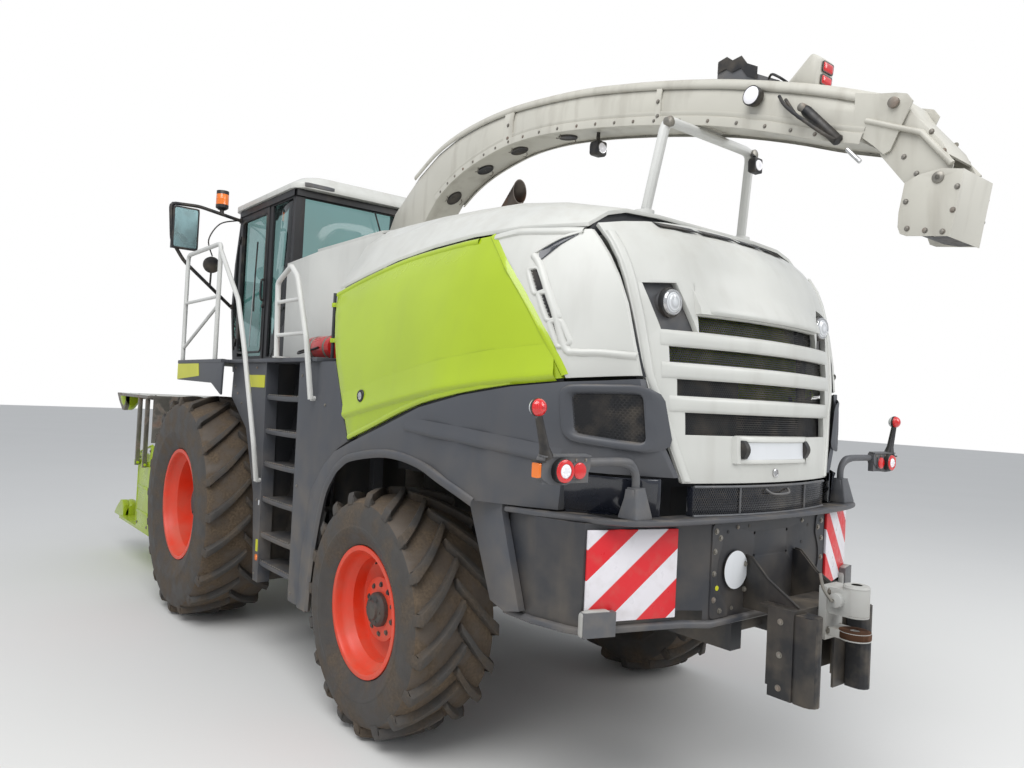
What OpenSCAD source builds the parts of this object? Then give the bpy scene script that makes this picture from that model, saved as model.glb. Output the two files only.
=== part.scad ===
// Self-propelled forage harvester with its folded maize header.
// X forward, Y to the machine's left, Z up, on the ground under the middle of its length.
// Heights are above the ground; lengths in tables run from the front axle, plus forward.

/* [Wheels and axles] */
// From the middle of the length forward to the front axle
front_axle_x = 1310; // [1200:10:1600]
// Distance between the axles
wheelbase = 3190; // [3150:5:3260]
// Front tyre radius to the lug tips
front_tyre_r = 1000; // [980:5:1010]
// Front tyre width
front_tyre_w = 710; // [640:10:730]
// Front rim lip radius
front_rim_r = 500; // [470:5:520]
// Outer face of the front tyres
front_face_y = 1680; // [1670:5:1710]
// Rear tyre radius to the lug tips
rear_tyre_r = 755; // [740:5:765]
// Rear tyre width
rear_tyre_w = 600; // [560:10:610]
// Rear rim lip radius
rear_rim_r = 400; // [380:5:410]
// Outer face of the rear tyres
rear_face_y = 1470; // [1460:5:1480]
// Height of a tyre lug
lug_h = 45; // [30:1:55]
// Kingpin distance from the middle
kingpin_y = 950; // [930:5:970]
// Radius of a kingpin
kingpin_r = 32; // [26:1:36]
// Radius of a wheel spindle
spindle_r = 70; // [60:1:80]
/* [Body] */
// Half width of the body over the rear wheels
body_half_w = 1400; // [1380:5:1420]
// How far the body leans in at its top
body_lean = 180; // [150:5:200]
// Thickness of a body panel with its frame
panel_t = 22; // [16:1:28]
// Deck height
deck_z = 2330; // [2320:1:2340]
// Deck plate thickness
deck_t = 30; // [20:1:40]
/* [Cab] */
// Half width of the cab
cab_half_w = 900; // [880:5:920]
// Thickness of the cab's posts and walls
cab_wall = 50; // [40:1:60]
// Thickness of the glass
glass_t = 6; // [5:1:8]
/* [Spout] */
// Distance of the turret's axis behind the front axle
turret_back = 1050; // [1030:5:1060]
// Width of the spout
spout_w = 280; // [265:5:290]
// Wall of the spout
spout_wall = 12; // [8:1:16]
/* [Rear hitch] */
// Radius of the tow pin's bore
tow_bore_r = 20; // [16:0.5:25]
// Radius of the bolt holes in the tail plate
tail_hole_r = 9; // [6:0.5:12]
// Width between the tail plate's bolt rows
tail_hole_dy = 300; // [280:5:320]
// Height between the tail plate's bolt rows
tail_hole_dz = 120; // [100:5:140]
/* [Header] */
// Width of the middle of the header
header_w = 2900; // [2800:10:3000]
// Radius of a crop drum
drum_r = 640; // [600:5:660]

/* [Hidden] */
$fn = 48;
run = 0.3;
rear_axle_x = -wheelbase;
turret_x = -turret_back;
anthracite = [0.20, 0.20, 0.22];
offwhite = [0.80, 0.80, 0.76];
lime = [0.58, 0.76, 0.10];
rim_red = [0.90, 0.20, 0.08];
tyre_black = [0.09, 0.09, 0.08];
steel = [0.45, 0.45, 0.45];

// Places from the front axle, and both sides of the machine
module at_axle() { translate([front_axle_x, 0, 0]) children(); }
module both() {
    children();
    mirror([0, 1, 0]) children();
}
// A box between two corners
module span(a, b) { translate(a) cube(b - a); }
// A side outline, [x, z] points, as a plate from y0 to y1
module side_plate(outline, y0, y1) {
    translate([0, y1, 0]) rotate([90, 0, 0]) linear_extrude(y1 - y0) polygon(outline);
}
// A round bar between two points
module bar(a, b, d) {
    v = b - a;
    len = norm(v);
    translate(a) rotate([0, acos(v[2] / len), atan2(v[1], v[0])]) cylinder(d = d, h = len, $fn = 16);
}
// A bent round tube through a list of points that lie about in one plane, its bends rounded
tube_sides = 10;
function unit(v) = v / norm(v);
function bend(a, b, c, r) = let (p = b + unit(a - b) * r, q = b + unit(c - b) * r)
    [for (t = [0 : 0.34 : 1.02]) p * (1 - t) * (1 - t) + b * 2 * t * (1 - t) + q * t * t];
function bent(p, r) = concat([p[0]], [for (i = [1 : 1 : len(p) - 2]) each bend(p[i - 1], p[i], p[i + 1], r)],
    [p[len(p) - 1]]);
module tube(points, d, r = 60) {
    line = bent(points, r);
    flat = unit(cross(points[1] - points[0], points[2] - points[1]));
    last = len(line) - 1;
    rings = [for (i = [0 : last])
        let (way = unit(line[min(i + 1, last)] - line[max(i - 1, 0)]), side = unit(cross(way, flat)),
            up = cross(side, way))
        [for (k = [0 : tube_sides - 1]) let (a = 360 * k / tube_sides)
            line[i] + side * cos(a) * d / 2 + up * sin(a) * d / 2]];
    polyhedron([for (r = rings) each r], concat(
        [for (i = [0 : last - 1], j = [0 : tube_sides - 1]) each
            let (a = i * tube_sides + j, b = i * tube_sides + (j + 1) % tube_sides)
            [[a, b, b + tube_sides], [a, b + tube_sides, a + tube_sides]]],
        [[for (j = [tube_sides - 1 : -1 : 0]) j]], [[for (j = [0 : tube_sides - 1]) last * tube_sides + j]]),
        convexity = 4);
}
// A cylinder along Y from y0 to y1
module across(x, z, y0, y1, r) { translate([x, y1, z]) rotate([90, 0, 0]) cylinder(r = r, h = y1 - y0); }

// Closed thin shell between two grids of points of the same size
module shell(outer, inner) {
    nu = len(outer) - 1;
    nv = len(outer[0]) - 1;
    row = nv + 1;
    base = (nu + 1) * row;
    points = concat([for (r = outer) each r], [for (r = inner) each r]);
    o = function(i, j) i * row + j;
    n = function(i, j) base + i * row + j;
    quad = function(a, b, c, d) [[a, b, c], [a, c, d]];
    faces = concat(
        [for (i = [0 : nu - 1], j = [0 : nv - 1]) each
            quad(o(i, j), o(i, j + 1), o(i + 1, j + 1), o(i + 1, j))],
        [for (i = [0 : nu - 1], j = [0 : nv - 1]) each
            quad(n(i, j), n(i + 1, j), n(i + 1, j + 1), n(i, j + 1))],
        [for (i = [0 : nu - 1]) each quad(o(i, 0), o(i + 1, 0), n(i + 1, 0), n(i, 0))],
        [for (i = [0 : nu - 1]) each quad(o(i, nv), n(i, nv), n(i + 1, nv), o(i + 1, nv))],
        [for (j = [0 : nv - 1]) each quad(o(0, j), n(0, j), n(0, j + 1), o(0, j + 1))],
        [for (j = [0 : nv - 1]) each quad(o(nu, j), o(nu, j + 1), n(nu, j + 1), n(nu, j))]);
    polyhedron(points, faces, convexity = 6);
}
// Smooth curve through [a, b] points, n steps between each two
function spline_at(p, i, t) =
    let (a = p[max(i - 1, 0)], b = p[i], c = p[i + 1], d = p[min(i + 2, len(p) - 1)])
    0.5 * (2 * b + (c - a) * t + (2 * a - 5 * b + 4 * c - d) * t * t + (3 * b - a - 3 * c + d) * t * t * t);
function smooth(p, n) = concat([for (i = [0 : len(p) - 2], k = [0 : n - 1]) spline_at(p, i, k / n)],
    [p[len(p) - 1]]);

// Half width of the body at a length and height: [length, narrowing] from the full width
plan_table = [[-5030, 780], [-5000, 700], [-4960, 550], [-4860, 425], [-4700, 290], [-4500, 170], [-4250, 60],
    [-3900, 0]];
lean_start_z = 2200;
lean_rise = 800;
function plan(x) = body_half_w - lookup(x, plan_table);
function lean(z) = z < lean_start_z ? 0 : body_lean * pow((z - lean_start_z) / lean_rise, 2);
function skin(x, z) = plan(x) - lean(z);
// Panel on the body's left skin between two edges of [length, height] points, its last edge bowed rearwards
function end_share(i, edge) = pow(i / (len(edge) - 1), 3);
module skin_panel(edge_a, edge_b, steps, proud = 0, t = panel_t, bow = 0) {
    place = function(i, k, deep)
        let (s = k / steps, p = edge_a[i] * (1 - s) + edge_b[i] * s,
            x = p[0] - bow * 4 * s * (1 - s) * end_share(i, edge_a))
        [x, skin(x, p[1]) + proud - deep, p[1]];
    shell([for (i = [0 : len(edge_a) - 1]) [for (k = [0 : steps]) place(i, k, 0)]],
        [for (i = [0 : len(edge_a) - 1]) [for (k = [0 : steps]) place(i, k, t)]]);
}

// Frame and running gear
rail_y = 300;
rail_w = 90;
rail_z0 = 860;
rail_z1 = 1060;
tail_x = -5085;
pivot_x = 560;
pivot_z = 960;
pivot_r = 30;
tail_wall = 15;
module chassis_frame() color(anthracite) at_axle() {
    both() span([tail_x + tail_wall + run, rail_y - rail_w, rail_z0], [600, rail_y, rail_z1]);
    for (x = [-4850, -4100, -3420, -2960, -2200, -1340, -480, 480])
        span([x - 60, -rail_y + rail_w, rail_z0 + 20], [x + 60, rail_y - rail_w, rail_z1 - 20]);
    both() across(pivot_x, pivot_z, rail_y, rail_y + 45, pivot_r);
}
front_mid_y = front_face_y - front_tyre_w / 2;
rear_mid_y = rear_face_y - rear_tyre_w / 2;
axle_tube_r = 150;
front_flange_y = front_mid_y - 150;
module front_axle() color(anthracite) at_axle() {
    difference() {
        union() {
            across(0, front_tyre_r, -front_flange_y + 200, front_flange_y - 200, axle_tube_r);
            both() across(0, front_tyre_r, front_flange_y - 260, front_flange_y, 230);
            both() across(0, front_tyre_r, front_flange_y, front_flange_y + 140, spindle_r);
        }
        span([-400, -rail_y - run, rail_z0 - run], [400, -rail_y + rail_w + run, rail_z1 + run]);
        span([-400, rail_y - rail_w - run, rail_z0 - run], [400, rail_y + run, rail_z1 + run]);
    }
}
rear_beam_z = rear_tyre_r;
knuckle_h = 150;
fork_gap = 6;
module rear_axle() color(anthracite) at_axle() translate([rear_axle_x, 0, 0]) {
    span([-90, -kingpin_y + 110, rear_beam_z - 70], [90, kingpin_y - 110, rear_beam_z + 70]);
    span([-120, -rail_y + rail_w + run, rear_beam_z + 70], [120, rail_y - rail_w - run, rear_beam_z + 170]);
    both() difference() {
        span([-60, kingpin_y - 110, rear_beam_z - knuckle_h], [60, kingpin_y + 50, rear_beam_z + knuckle_h]);
        span([-70, kingpin_y - 70, rear_beam_z - knuckle_h + 50],
            [70, kingpin_y + 60, rear_beam_z + knuckle_h - 50]);
        translate([0, kingpin_y, 0]) cylinder(r = kingpin_r + run, h = 3 * rear_tyre_r);
    }
}
module knuckle() translate([rear_axle_x, kingpin_y, rear_beam_z]) {
    cylinder(r = kingpin_r, h = 2 * knuckle_h, center = true);
    cylinder(r = 55, h = 2 * (knuckle_h - 50 - fork_gap), center = true);
    rotate([-90, 0, 0]) translate([0, 0, 30]) cylinder(r = 65, h = 60);
    rotate([-90, 0, 0]) translate([0, 0, 60]) cylinder(r = spindle_r, h = rear_mid_y - kingpin_y - 30);
}
module knuckle_left() color(steel) at_axle() knuckle();
module knuckle_right() color(steel) at_axle() mirror([0, 1, 0]) knuckle();

// Wheels: the profile runs [radius, y] around the rim, its lip at the outer face
lip_w = 22;
rim_t = 14;
module rim(lip_r, w, disc_in, hub_r, bore_y0, bore_y1) rotate([-90, 0, 0]) difference() {
    rotate_extrude($fn = 64) polygon([
        [lip_r, w / 2 - lip_w], [lip_r, w / 2], [lip_r - 30, w / 2], [lip_r - 45, w / 2 - 60],
        [lip_r - 80, w / 2 - 110], [lip_r - 85, disc_in], [hub_r + 60, disc_in - 30], [hub_r + 30, disc_in + 30],
        [0, disc_in + 30], [0, disc_in - 90], [hub_r, disc_in - 90], [hub_r + 20, disc_in - 60],
        [lip_r - 85, disc_in - 20], [lip_r - 85, -w / 2 + 90], [lip_r - 50, -w / 2 + 60],
        [lip_r - 40, -w / 2], [lip_r, -w / 2], [lip_r, -w / 2 + lip_w], [lip_r - 20, -w / 2 + lip_w],
        [lip_r - 30, -w / 2 + 65], [lip_r - 68, -w / 2 + 100], [lip_r - 68, w / 2 - 125],
        [lip_r - 30, w / 2 - 68], [lip_r - 18, w / 2 - lip_w]]);
    translate([0, 0, bore_y0]) cylinder(r = spindle_r + run, h = bore_y1 - bore_y0);
}
front_disc = 30;
rear_disc = 20;
module rim_front() translate([0, front_mid_y, front_tyre_r])
    rim(front_rim_r, front_tyre_w - 120, front_disc, 200, -200, front_disc - 20);
module rim_rear() translate([rear_axle_x, rear_mid_y, rear_tyre_r])
    rim(rear_rim_r, rear_tyre_w - 110, rear_disc + 40, 150, -200, rear_disc + 15);
module rim_front_left() color(rim_red) at_axle() rim_front();
module rim_front_right() color(rim_red) at_axle() mirror([0, 1, 0]) rim_front();
module rim_rear_left() color(rim_red) at_axle() rim_rear();
module rim_rear_right() color(rim_red) at_axle() mirror([0, 1, 0]) rim_rear();
// Tyre as one closed grid: round the wheel in quarters of a lug's pitch, and across its section.
// Section rows: [radius on a lug, y on a lug, radius in a gap, y in a gap, share of the lug's sweep]
lug_count = 18;
lug_sweep = 17;
lug_share = [0, 0.34, 0.44, 0.9];
bead_gap = 2.2;
function half_rows(r, w, lip_r, rim_w) = [
    [lip_r + bead_gap, rim_w / 2 - 10, lip_r + bead_gap, rim_w / 2 - 10, 0.7],
    [r - 230, w / 2, r - 230, w / 2, 1],
    [r - 105, w / 2 - 2, r - 125, w / 2 - 30, 1.05],
    [r - 22, w / 2 - 38, r - 24 - lug_h, w / 2 - 62, 1],
    [r, 16, r - lug_h, 16, 0]];
module tyre(r, w, lip_r, rim_w) {
    half = half_rows(r, w, lip_r, rim_w);
    rows = concat([for (q = half) [q, 1]], [for (i = [len(half) - 1 : -1 : 0]) [half[i], -1]]);
    pitch = 360 / lug_count;
    n = 4 * lug_count;
    m = len(rows);
    at_row = function(c, row) let (q = row[0], side = row[1], k = (c + (side < 0 ? 2 : 0)) % 4,
        turn = side < 0 ? 0.5 : 0,
        lug = k < 2, radius = lug ? q[0] : q[2], y = side * (lug ? q[1] : q[3]),
        a = pitch * (floor((c + (side < 0 ? 2 : 0)) / 4) - turn + lug_share[k]) - lug_sweep * q[4] + 180)
        [radius * sin(a), y, radius * cos(a)];
    points = [for (c = [0 : n - 1], row = rows) at_row(c, row)];
    polyhedron(points, [for (c = [0 : n - 1], j = [0 : m - 1]) each
        let (c2 = (c + 1) % n, j2 = (j + 1) % m, p = c * m + j, q = c * m + j2, u = c2 * m + j, v = c2 * m + j2)
        [[p, q, v], [p, v, u]]], convexity = 8);
}
module tyre_front() translate([0, front_mid_y, front_tyre_r])
    tyre(front_tyre_r, front_tyre_w, front_rim_r, front_tyre_w - 120);
module tyre_rear() translate([rear_axle_x, rear_mid_y, rear_tyre_r])
    tyre(rear_tyre_r, rear_tyre_w, rear_rim_r, rear_tyre_w - 110);
module tyre_front_left() color(tyre_black) at_axle() tyre_front();
module tyre_front_right() color(tyre_black) at_axle() mirror([0, 1, 0]) tyre_front();
module tyre_rear_left() color(tyre_black) at_axle() tyre_rear();
module tyre_rear_right() color(tyre_black) at_axle() mirror([0, 1, 0]) tyre_rear();

// Engine block, across the frame behind the rear axle
engine_front_x = -3500;
module engine_block() color(steel) at_axle() span([-4500, -480, rail_z1], [engine_front_x, 480, 2350]);

// Deck, ladder and rails, on both sides
deck_half_w = 1500;
step_edge_y = 1434;
deck_front_x = 680;
ladder_front_x = -640;
step_x0 = -1400;
step_x1 = -2020;
cab_floor_z = deck_z - 80;
post_y = 780;
beam_z = deck_z - deck_t - 70;
valance = [[deck_front_x, deck_z - deck_t], [deck_front_x, 2140], [-360, 2120], [-620, 2020],
    [ladder_front_x, deck_z - deck_t]];
module deck() color(anthracite) at_axle() {
    span([-620, -cab_half_w - 40, cab_floor_z - 40], [deck_front_x, cab_half_w + 40, cab_floor_z]);
    both() {
        span([-620, cab_half_w + 12, deck_z - deck_t], [deck_front_x, deck_half_w, deck_z]);
        span([door_front_x, 920, deck_z - deck_t], [-620, step_edge_y, deck_z]);
        side_plate(valance, deck_half_w - 20, deck_half_w);
        span([-600, cab_half_w + 12, cab_floor_z - 1], [deck_front_x, cab_half_w + 40, deck_z - deck_t]);
        for (x = [-2250, -1150]) span([x, post_y, beam_z], [x + 70, 1290, deck_z - deck_t]);
        for (x = [-2250, -1150]) span([x, post_y, rail_z1], [x + 70, post_y + 80, beam_z]);
        span([330, post_y, rail_z1], [400, post_y + 80, cab_floor_z - 40]);
        for (x = [-2250, -1150, 330]) span([x, rail_y, rail_z1 - 60], [x + 70, post_y + 80, rail_z1]);
    }
}
// Side plates beside the steps: outline [length, height]
front_stringer = [[-620, 2010], [-1013, 1753], [-1250, 1250], [-1340, 560], [-1440, 560], [-1400, deck_z - deck_t],
    [-645, deck_z - deck_t]];
rear_stringer = [[-2040, deck_z - deck_t], [-2040, 560], [-2240, 560], [-2276, 961], [-2376, 1425], [-2560, 1615],
    [-2720, 1718], [-2850, 1772], [-2838, 1800], [-2612, deck_z - deck_t]];
step_z = [730, 950, 1230, 1510, 1770, 2040];
module ladder_box() color(anthracite) at_axle() both() {
    side_plate(front_stringer, body_half_w - 100, body_half_w);
    side_plate(rear_stringer, body_half_w - 60, body_half_w);
    for (z = step_z) span([step_x1 - 20, body_half_w - 300, z - 30], [step_x0, body_half_w - 20, z]);
    span([step_x1 - 20, body_half_w - 320, 560], [step_x0, body_half_w - 300, deck_z - deck_t]);
    span([step_x1 - 140, body_half_w - 420, 560], [step_x0, body_half_w - 320, 640]);
}
rail_d = 40;
rail_side_y = deck_half_w - 30;
module hand_rails() color("white") at_axle() both() {
    tube([[-340, rail_side_y, deck_z], [-340, rail_side_y, 3380], [640, rail_side_y, 3380],
        [640, rail_side_y, deck_z]], rail_d);
    bar([-340, rail_side_y, 2900], [640, rail_side_y, 2900], 30);
    bar([-340, rail_side_y, 2820], [640, rail_side_y, 2450], 30);
    tube([[-350, rail_side_y, 3310], [-859, rail_side_y, 2837], [-1071, rail_side_y, 2418],
        [-1400, rail_side_y, 1640], [-1390, body_half_w + 32, 1358]], rail_d, 30);
    bar([-1390, body_half_w, 1364], [-1390, body_half_w + 32, 1364], 34);
    tube([[-1766, rail_side_y, deck_z + 5], [-1720, rail_side_y, 2902], [-1960, rail_side_y, 3008],
        [-2083, rail_side_y, 2913], [-2290, rail_side_y, 2461], [-2330, body_half_w + 32, 2033]], rail_d, 30);
    bar([-2330, body_half_w, 2040], [-2330, body_half_w + 32, 2040], 34);
    span([-1796, step_edge_y - 60, deck_z], [-1736, rail_side_y + 20, deck_z + 12]);
    bar([-1755, rail_side_y, 2500], [-2270, rail_side_y, 2500], 28);
    bar([-1740, rail_side_y, 2750], [-2155, rail_side_y, 2750], 28);
}
module extinguisher() color("red") at_axle() translate([0, 0, deck_z]) {
    translate([-2150, 1150, 95]) rotate([0, 90, 0]) cylinder(r = 90, h = 400);
    translate([-1750, 1150, 95]) sphere(r = 88);
    for (x = [-2080, -1850]) span([x, 1120, 0], [x + 30, 1180, 15]);
}

// Cab: side outline [length, height] of its posts
cab_rear_x = -600;
cab_top_z = 3950;
cab_side = [[cab_rear_x, cab_floor_z], [cab_rear_x, cab_top_z], [820, cab_top_z], [960, 3400], [1000, 2900],
    [850, cab_floor_z]];
// Outline shrunk towards a middle by two shares
function inset(p, c, s) = [for (q = p) c + [(q[0] - c[0]) * s[0], (q[1] - c[1]) * s[1]]];
cab_mid = [200, 3055];
cab_share = 0.935;
cab_inside = inset(cab_side, cab_mid, [cab_share, cab_share]);
floor_z = cab_mid[1] - (cab_mid[1] - cab_floor_z) * cab_share;
door_mid = [400, 3060];
door_outline = [[20, 2360], [20, 3880], [780, 3880], [780, 2360]];
quarter_window = [[-540, 2800], [-540, 3870], [-60, 3870], [-60, 2400], [-200, 2400]];
front_window = [[830, 2480], [830, 3810], [905, 3480], [945, 2900], [880, 2480]];
pane_share = 0.9995;
window_top = cab_top_z - 75;
door_hinge = [796, cab_half_w + 16];
door_hinge_z = [2520, 3600];
module cab_shell() color(anthracite) at_axle() {
    difference() {
        side_plate(cab_side, -cab_half_w, cab_half_w);
        side_plate(cab_inside, -cab_half_w + cab_wall, cab_half_w - cab_wall);
        side_plate(inset(door_outline, door_mid, [1.016, 1.01]), cab_half_w - cab_wall - 1, cab_half_w + 1);
        side_plate(inset(door_outline, door_mid, [0.92, 0.95]), -cab_half_w - 1, -cab_half_w + cab_wall + 1);
        side_plate(quarter_window, -cab_half_w - 1, cab_half_w + 1);
        side_plate(front_window, -cab_half_w - 1, cab_half_w + 1);
        span([cab_rear_x - 1, -cab_half_w + 90, 3000], [cab_rear_x + 100, cab_half_w - 90, window_top]);
        span([800, -cab_half_w + 70, deck_z + 80], [1010, cab_half_w - 70, window_top]);
    }
    for (z = door_hinge_z) {
        translate([door_hinge[0], door_hinge[1], z]) cylinder(r = 13, h = 40);
        translate([door_hinge[0], door_hinge[1], z]) cylinder(r = 7, h = 80);
        span([door_hinge[0], cab_half_w - 1, z], [door_hinge[0] + 24, door_hinge[1], z + 40]);
    }
}
roof_rise = 140;
module cab_roof() color(offwhite) at_axle() {
    corner = 160;
    hull() {
        for (x = [cab_rear_x - 90 + corner, 980 - corner], y = [-1, 1])
            translate([x, y * (cab_half_w + 40 - corner), cab_top_z]) cylinder(r = corner, h = 50, $fn = 32);
        for (x = [cab_rear_x + 190, 560], y = [-1, 1])
            translate([x, y * (cab_half_w - 300), cab_top_z + roof_rise - 20]) cylinder(r = 200, h = 20, $fn = 32);
    }
}
pane_y = cab_half_w - cab_wall / 2;
module pane(outline, mid) side_plate(inset(outline, mid, [pane_share, pane_share]), pane_y, pane_y + glass_t);
module cab_windows() color([0.4, 0.6, 0.6, 0.5]) at_axle() {
    span([cab_rear_x + 20, -cab_half_w + 90 + run, 3000 + run],
        [cab_rear_x + 20 + glass_t, cab_half_w - 90 - run, window_top - run]);
    both() pane(quarter_window, [-250, 3200]);
    both() pane(front_window, [880, 3100]);
    mirror([0, 1, 0]) pane(inset(door_outline, door_mid, [0.92, 0.95]), door_mid);
    intersection() {
        difference() {
            side_plate(inset(cab_side, cab_mid, [0.985, 1]), -cab_half_w + 70 + run, cab_half_w - 70 - run);
            side_plate(inset(cab_side, cab_mid, [0.976, 2]), -cab_half_w, cab_half_w);
        }
        span([800 + run, -cab_half_w, deck_z + 80 + run], [1010, cab_half_w, window_top - run]);
    }
}
door_y = cab_half_w - cab_wall;
door_window_share = [0.86, 0.93];
module cab_door() color(anthracite) at_axle() {
    difference() {
        side_plate(door_outline, door_y + 8, cab_half_w + 8);
        side_plate(inset(door_outline, door_mid, door_window_share), door_y, cab_half_w + 10);
    }
    for (z = door_hinge_z) difference() {
        union() {
            translate([door_hinge[0], door_hinge[1], z + 41]) cylinder(r = 13, h = 38);
            span([door_hinge[0] - 40, cab_half_w + 7, z + 41], [door_hinge[0], door_hinge[1] + 10, z + 79]);
        }
        translate([door_hinge[0], door_hinge[1], z]) cylinder(r = 7 + run, h = 90);
    }
}
module door_window() color([0.4, 0.6, 0.6, 0.5]) at_axle()
    side_plate(inset(inset(door_outline, door_mid, door_window_share), door_mid, [pane_share, pane_share]),
        door_y + 25, door_y + 25 + glass_t);
module driver_seat() color("dimgray") at_axle() {
    span([-150, -180, floor_z], [150, 180, 2620]);
    span([-200, -260, 2620], [280, 260, 2740]);
    side_plate([[-200, 2740], [-320, 3380], [-220, 3420], [-80, 2740]], -240, 240);
    side_plate([[640, floor_z], [560, floor_z], [480, 2820], [520, 2840]], -50, 50);
    translate([495, 0, 2823]) rotate([0, -30, 0]) cylinder(r = 200, h = 25);
    span([-100, -640, floor_z], [500, -300, 2860]);
}
// Mirrors on their bent arms, and the beacon
module mirrors() color("black") at_axle() {
    both() {
        tube([[815, 914, 3855], [900, 1320, 3945], [900, 1600, 3930], [900, 1572, 3554], [910, 1440, 3362],
            [970, 918, 2950]], 36, 50);
        span([790, cab_half_w, 3830], [840, cab_half_w + 16, 3885]);
        span([950, cab_half_w, 2925], [990, cab_half_w + 16, 2975]);
        span([870, 1322, 3480], [935, 1575, 3905]);
        translate([895, 1160, 3360]) rotate([0, 90, 0]) cylinder(r = 85, h = 30);
        bar([925, 1160, 3140], [910, 1160, 3320], 20);
    }
    translate([860, 1100, 3890]) cylinder(r = 22, h = 90);
    translate([860, 1100, 3975]) cylinder(r = 62, h = 165);
}

// White walls behind the cab, beside the turret
wedge_y = 960;
door_front_x = -2400;
wedge_top = [[cab_rear_x - 30, 3240], [-1262, 3271], [-2372, 3277]];
module wedge_panels() color(offwhite) at_axle() both() {
    side_plate(concat([[cab_rear_x - 30, deck_z]], wedge_top, [[-2372, deck_z]]), wedge_y - panel_t, wedge_y);
    side_plate([[-2594, deck_z], [-2382, 2795], [-2360, 2795], [-2572, deck_z]], wedge_y - panel_t, 1275);
    translate([-2384, 0, 0]) rotate([90, 0, 90]) linear_extrude(24)
        polygon([[wedge_y - panel_t, 2790], [1275, 2790], [1255, 2812], [1080, 3115], [wedge_y, 3222],
            [wedge_y - panel_t, 3230]]);
}
// Hood roof by stations: [length, half width, edge height, crest height]
hood_stations = [[-1262, 958, 3294, 3325], [-1800, 958, 3296, 3350], [-2360, 958, 3300, 3350]];
// The wide part takes its half width from the skin: [length, edge height, crest height]
wide_stations = [[-2412, 2840, 3345], [-2700, 2900, 3345], [-3100, 2975, 3340], [-3500, 3012, 3320],
    [-3900, 3025, 3290], [-4250, 3030, 3240], [-4590, 3030, 3165]];
// Section of the hood: [share of the half width, share of the rise from edge to crest]
hood_section = [[1, 0], [0.86, 0.62], [0.72, 0.9], [0.45, 1], [0, 1]];
function hood_line(s, deep) =
    let (h = [for (q = hood_section) [s[0], s[1] * q[0], s[2] + (s[3] - s[2]) * q[1] - deep]])
    concat(h, [for (i = [len(h) - 2 : -1 : 0]) [h[i][0], -h[i][1], h[i][2]]]);
function wide(s) = [s[0], skin(s[0], s[1]), s[1], s[2]];
module hood_grid(stations)
    shell([for (s = stations) hood_line(s, 0)], [for (s = stations) hood_line(s, panel_t)]);
module hood_roof() color(offwhite) at_axle() difference() {
    union() {
        hood_grid(hood_stations);
        hood_grid([for (s = wide_stations) wide(s)]);
        span([-2440, -600, 3300], [-2340, 600, 3322]);
    }
    translate([turret_x, 0, 3000]) cylinder(r = 420, h = 600);
    translate([exhaust_x, exhaust_y, 3000]) cylinder(r = 90, h = 600);
}
// Frame inside the body: a hoop of plate at a length, under the panels
hoop_t = 30;
hoop_w = 70;
under = 4;
side_gap = 14;
function hoop_side(x, low, high, in) = [for (k = [0 : 5]) let (z = low + (high - low) * k / 5)
    [skin(x - hoop_t / 2, z) - fender_t + fender_proud - side_gap - in, z]];
module hoop(x, station, low, high) {
    top = [for (i = [1 : 4]) [hood_line(station, 0)[i][1], hood_line(station, 0)[i][2] - panel_t - under]];
    translate([x - hoop_t / 2, 0, 0]) rotate([90, 0, 90]) linear_extrude(hoop_t) difference() {
        polygon(concat([[0, low]], hoop_side(x, low, high, 0), top,
            [for (i = [2 : -1 : 0]) [-top[i][0], top[i][1]]],
            [for (i = [5 : -1 : 0]) let (q = hoop_side(x, low, high, 0)[i]) [-q[0], q[1]]]));
        polygon(concat([[0, low + hoop_w]], [[hoop_side(x, low, high, hoop_w)[0][0], low + hoop_w]],
            [for (i = [1 : 5]) hoop_side(x, low, high, hoop_w)[i]],
            [for (q = top) [q[0] * 0.9, q[1] - hoop_w]],
            [for (i = [2 : -1 : 0]) [-top[i][0] * 0.9, top[i][1] - hoop_w]],
            [for (i = [5 : -1 : 1]) let (q = hoop_side(x, low, high, hoop_w)[i]) [-q[0], q[1]]],
            [[-hoop_side(x, low, high, hoop_w)[0][0], low + hoop_w]]));
    }
    both() span([x - hoop_t / 2, rail_y - rail_w, rail_z1], [x + hoop_t / 2, rail_y, low + 1]);
}
front_hoop_x = -2920;
rear_hoop_x = -4545;
cowl_hinge_x = -4595;
cowl_hinge_z = 3120;
cowl_hinge_y = 250;
module body_frame() color(anthracite) at_axle() {
    hoop(front_hoop_x, wide([front_hoop_x, 2938, 3341]), 1840, 2900);
    hoop(rear_hoop_x, wide([rear_hoop_x - hoop_t / 2, 3030, 3173]), 1640, 2960);
    both() {
        across(cowl_hinge_x, cowl_hinge_z, cowl_hinge_y - 20, cowl_hinge_y + 40, 8);
        side_plate([[rear_hoop_x, 3085], [cowl_hinge_x, 3106], [cowl_hinge_x - 10, 3120], [cowl_hinge_x, 3133],
            [rear_hoop_x, 3128]], cowl_hinge_y + 20, cowl_hinge_y + 40);
        translate([green_hinge[0], green_hinge[1], deck_z]) cylinder(r = green_pin_r, h = 460);
    }
}
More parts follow.
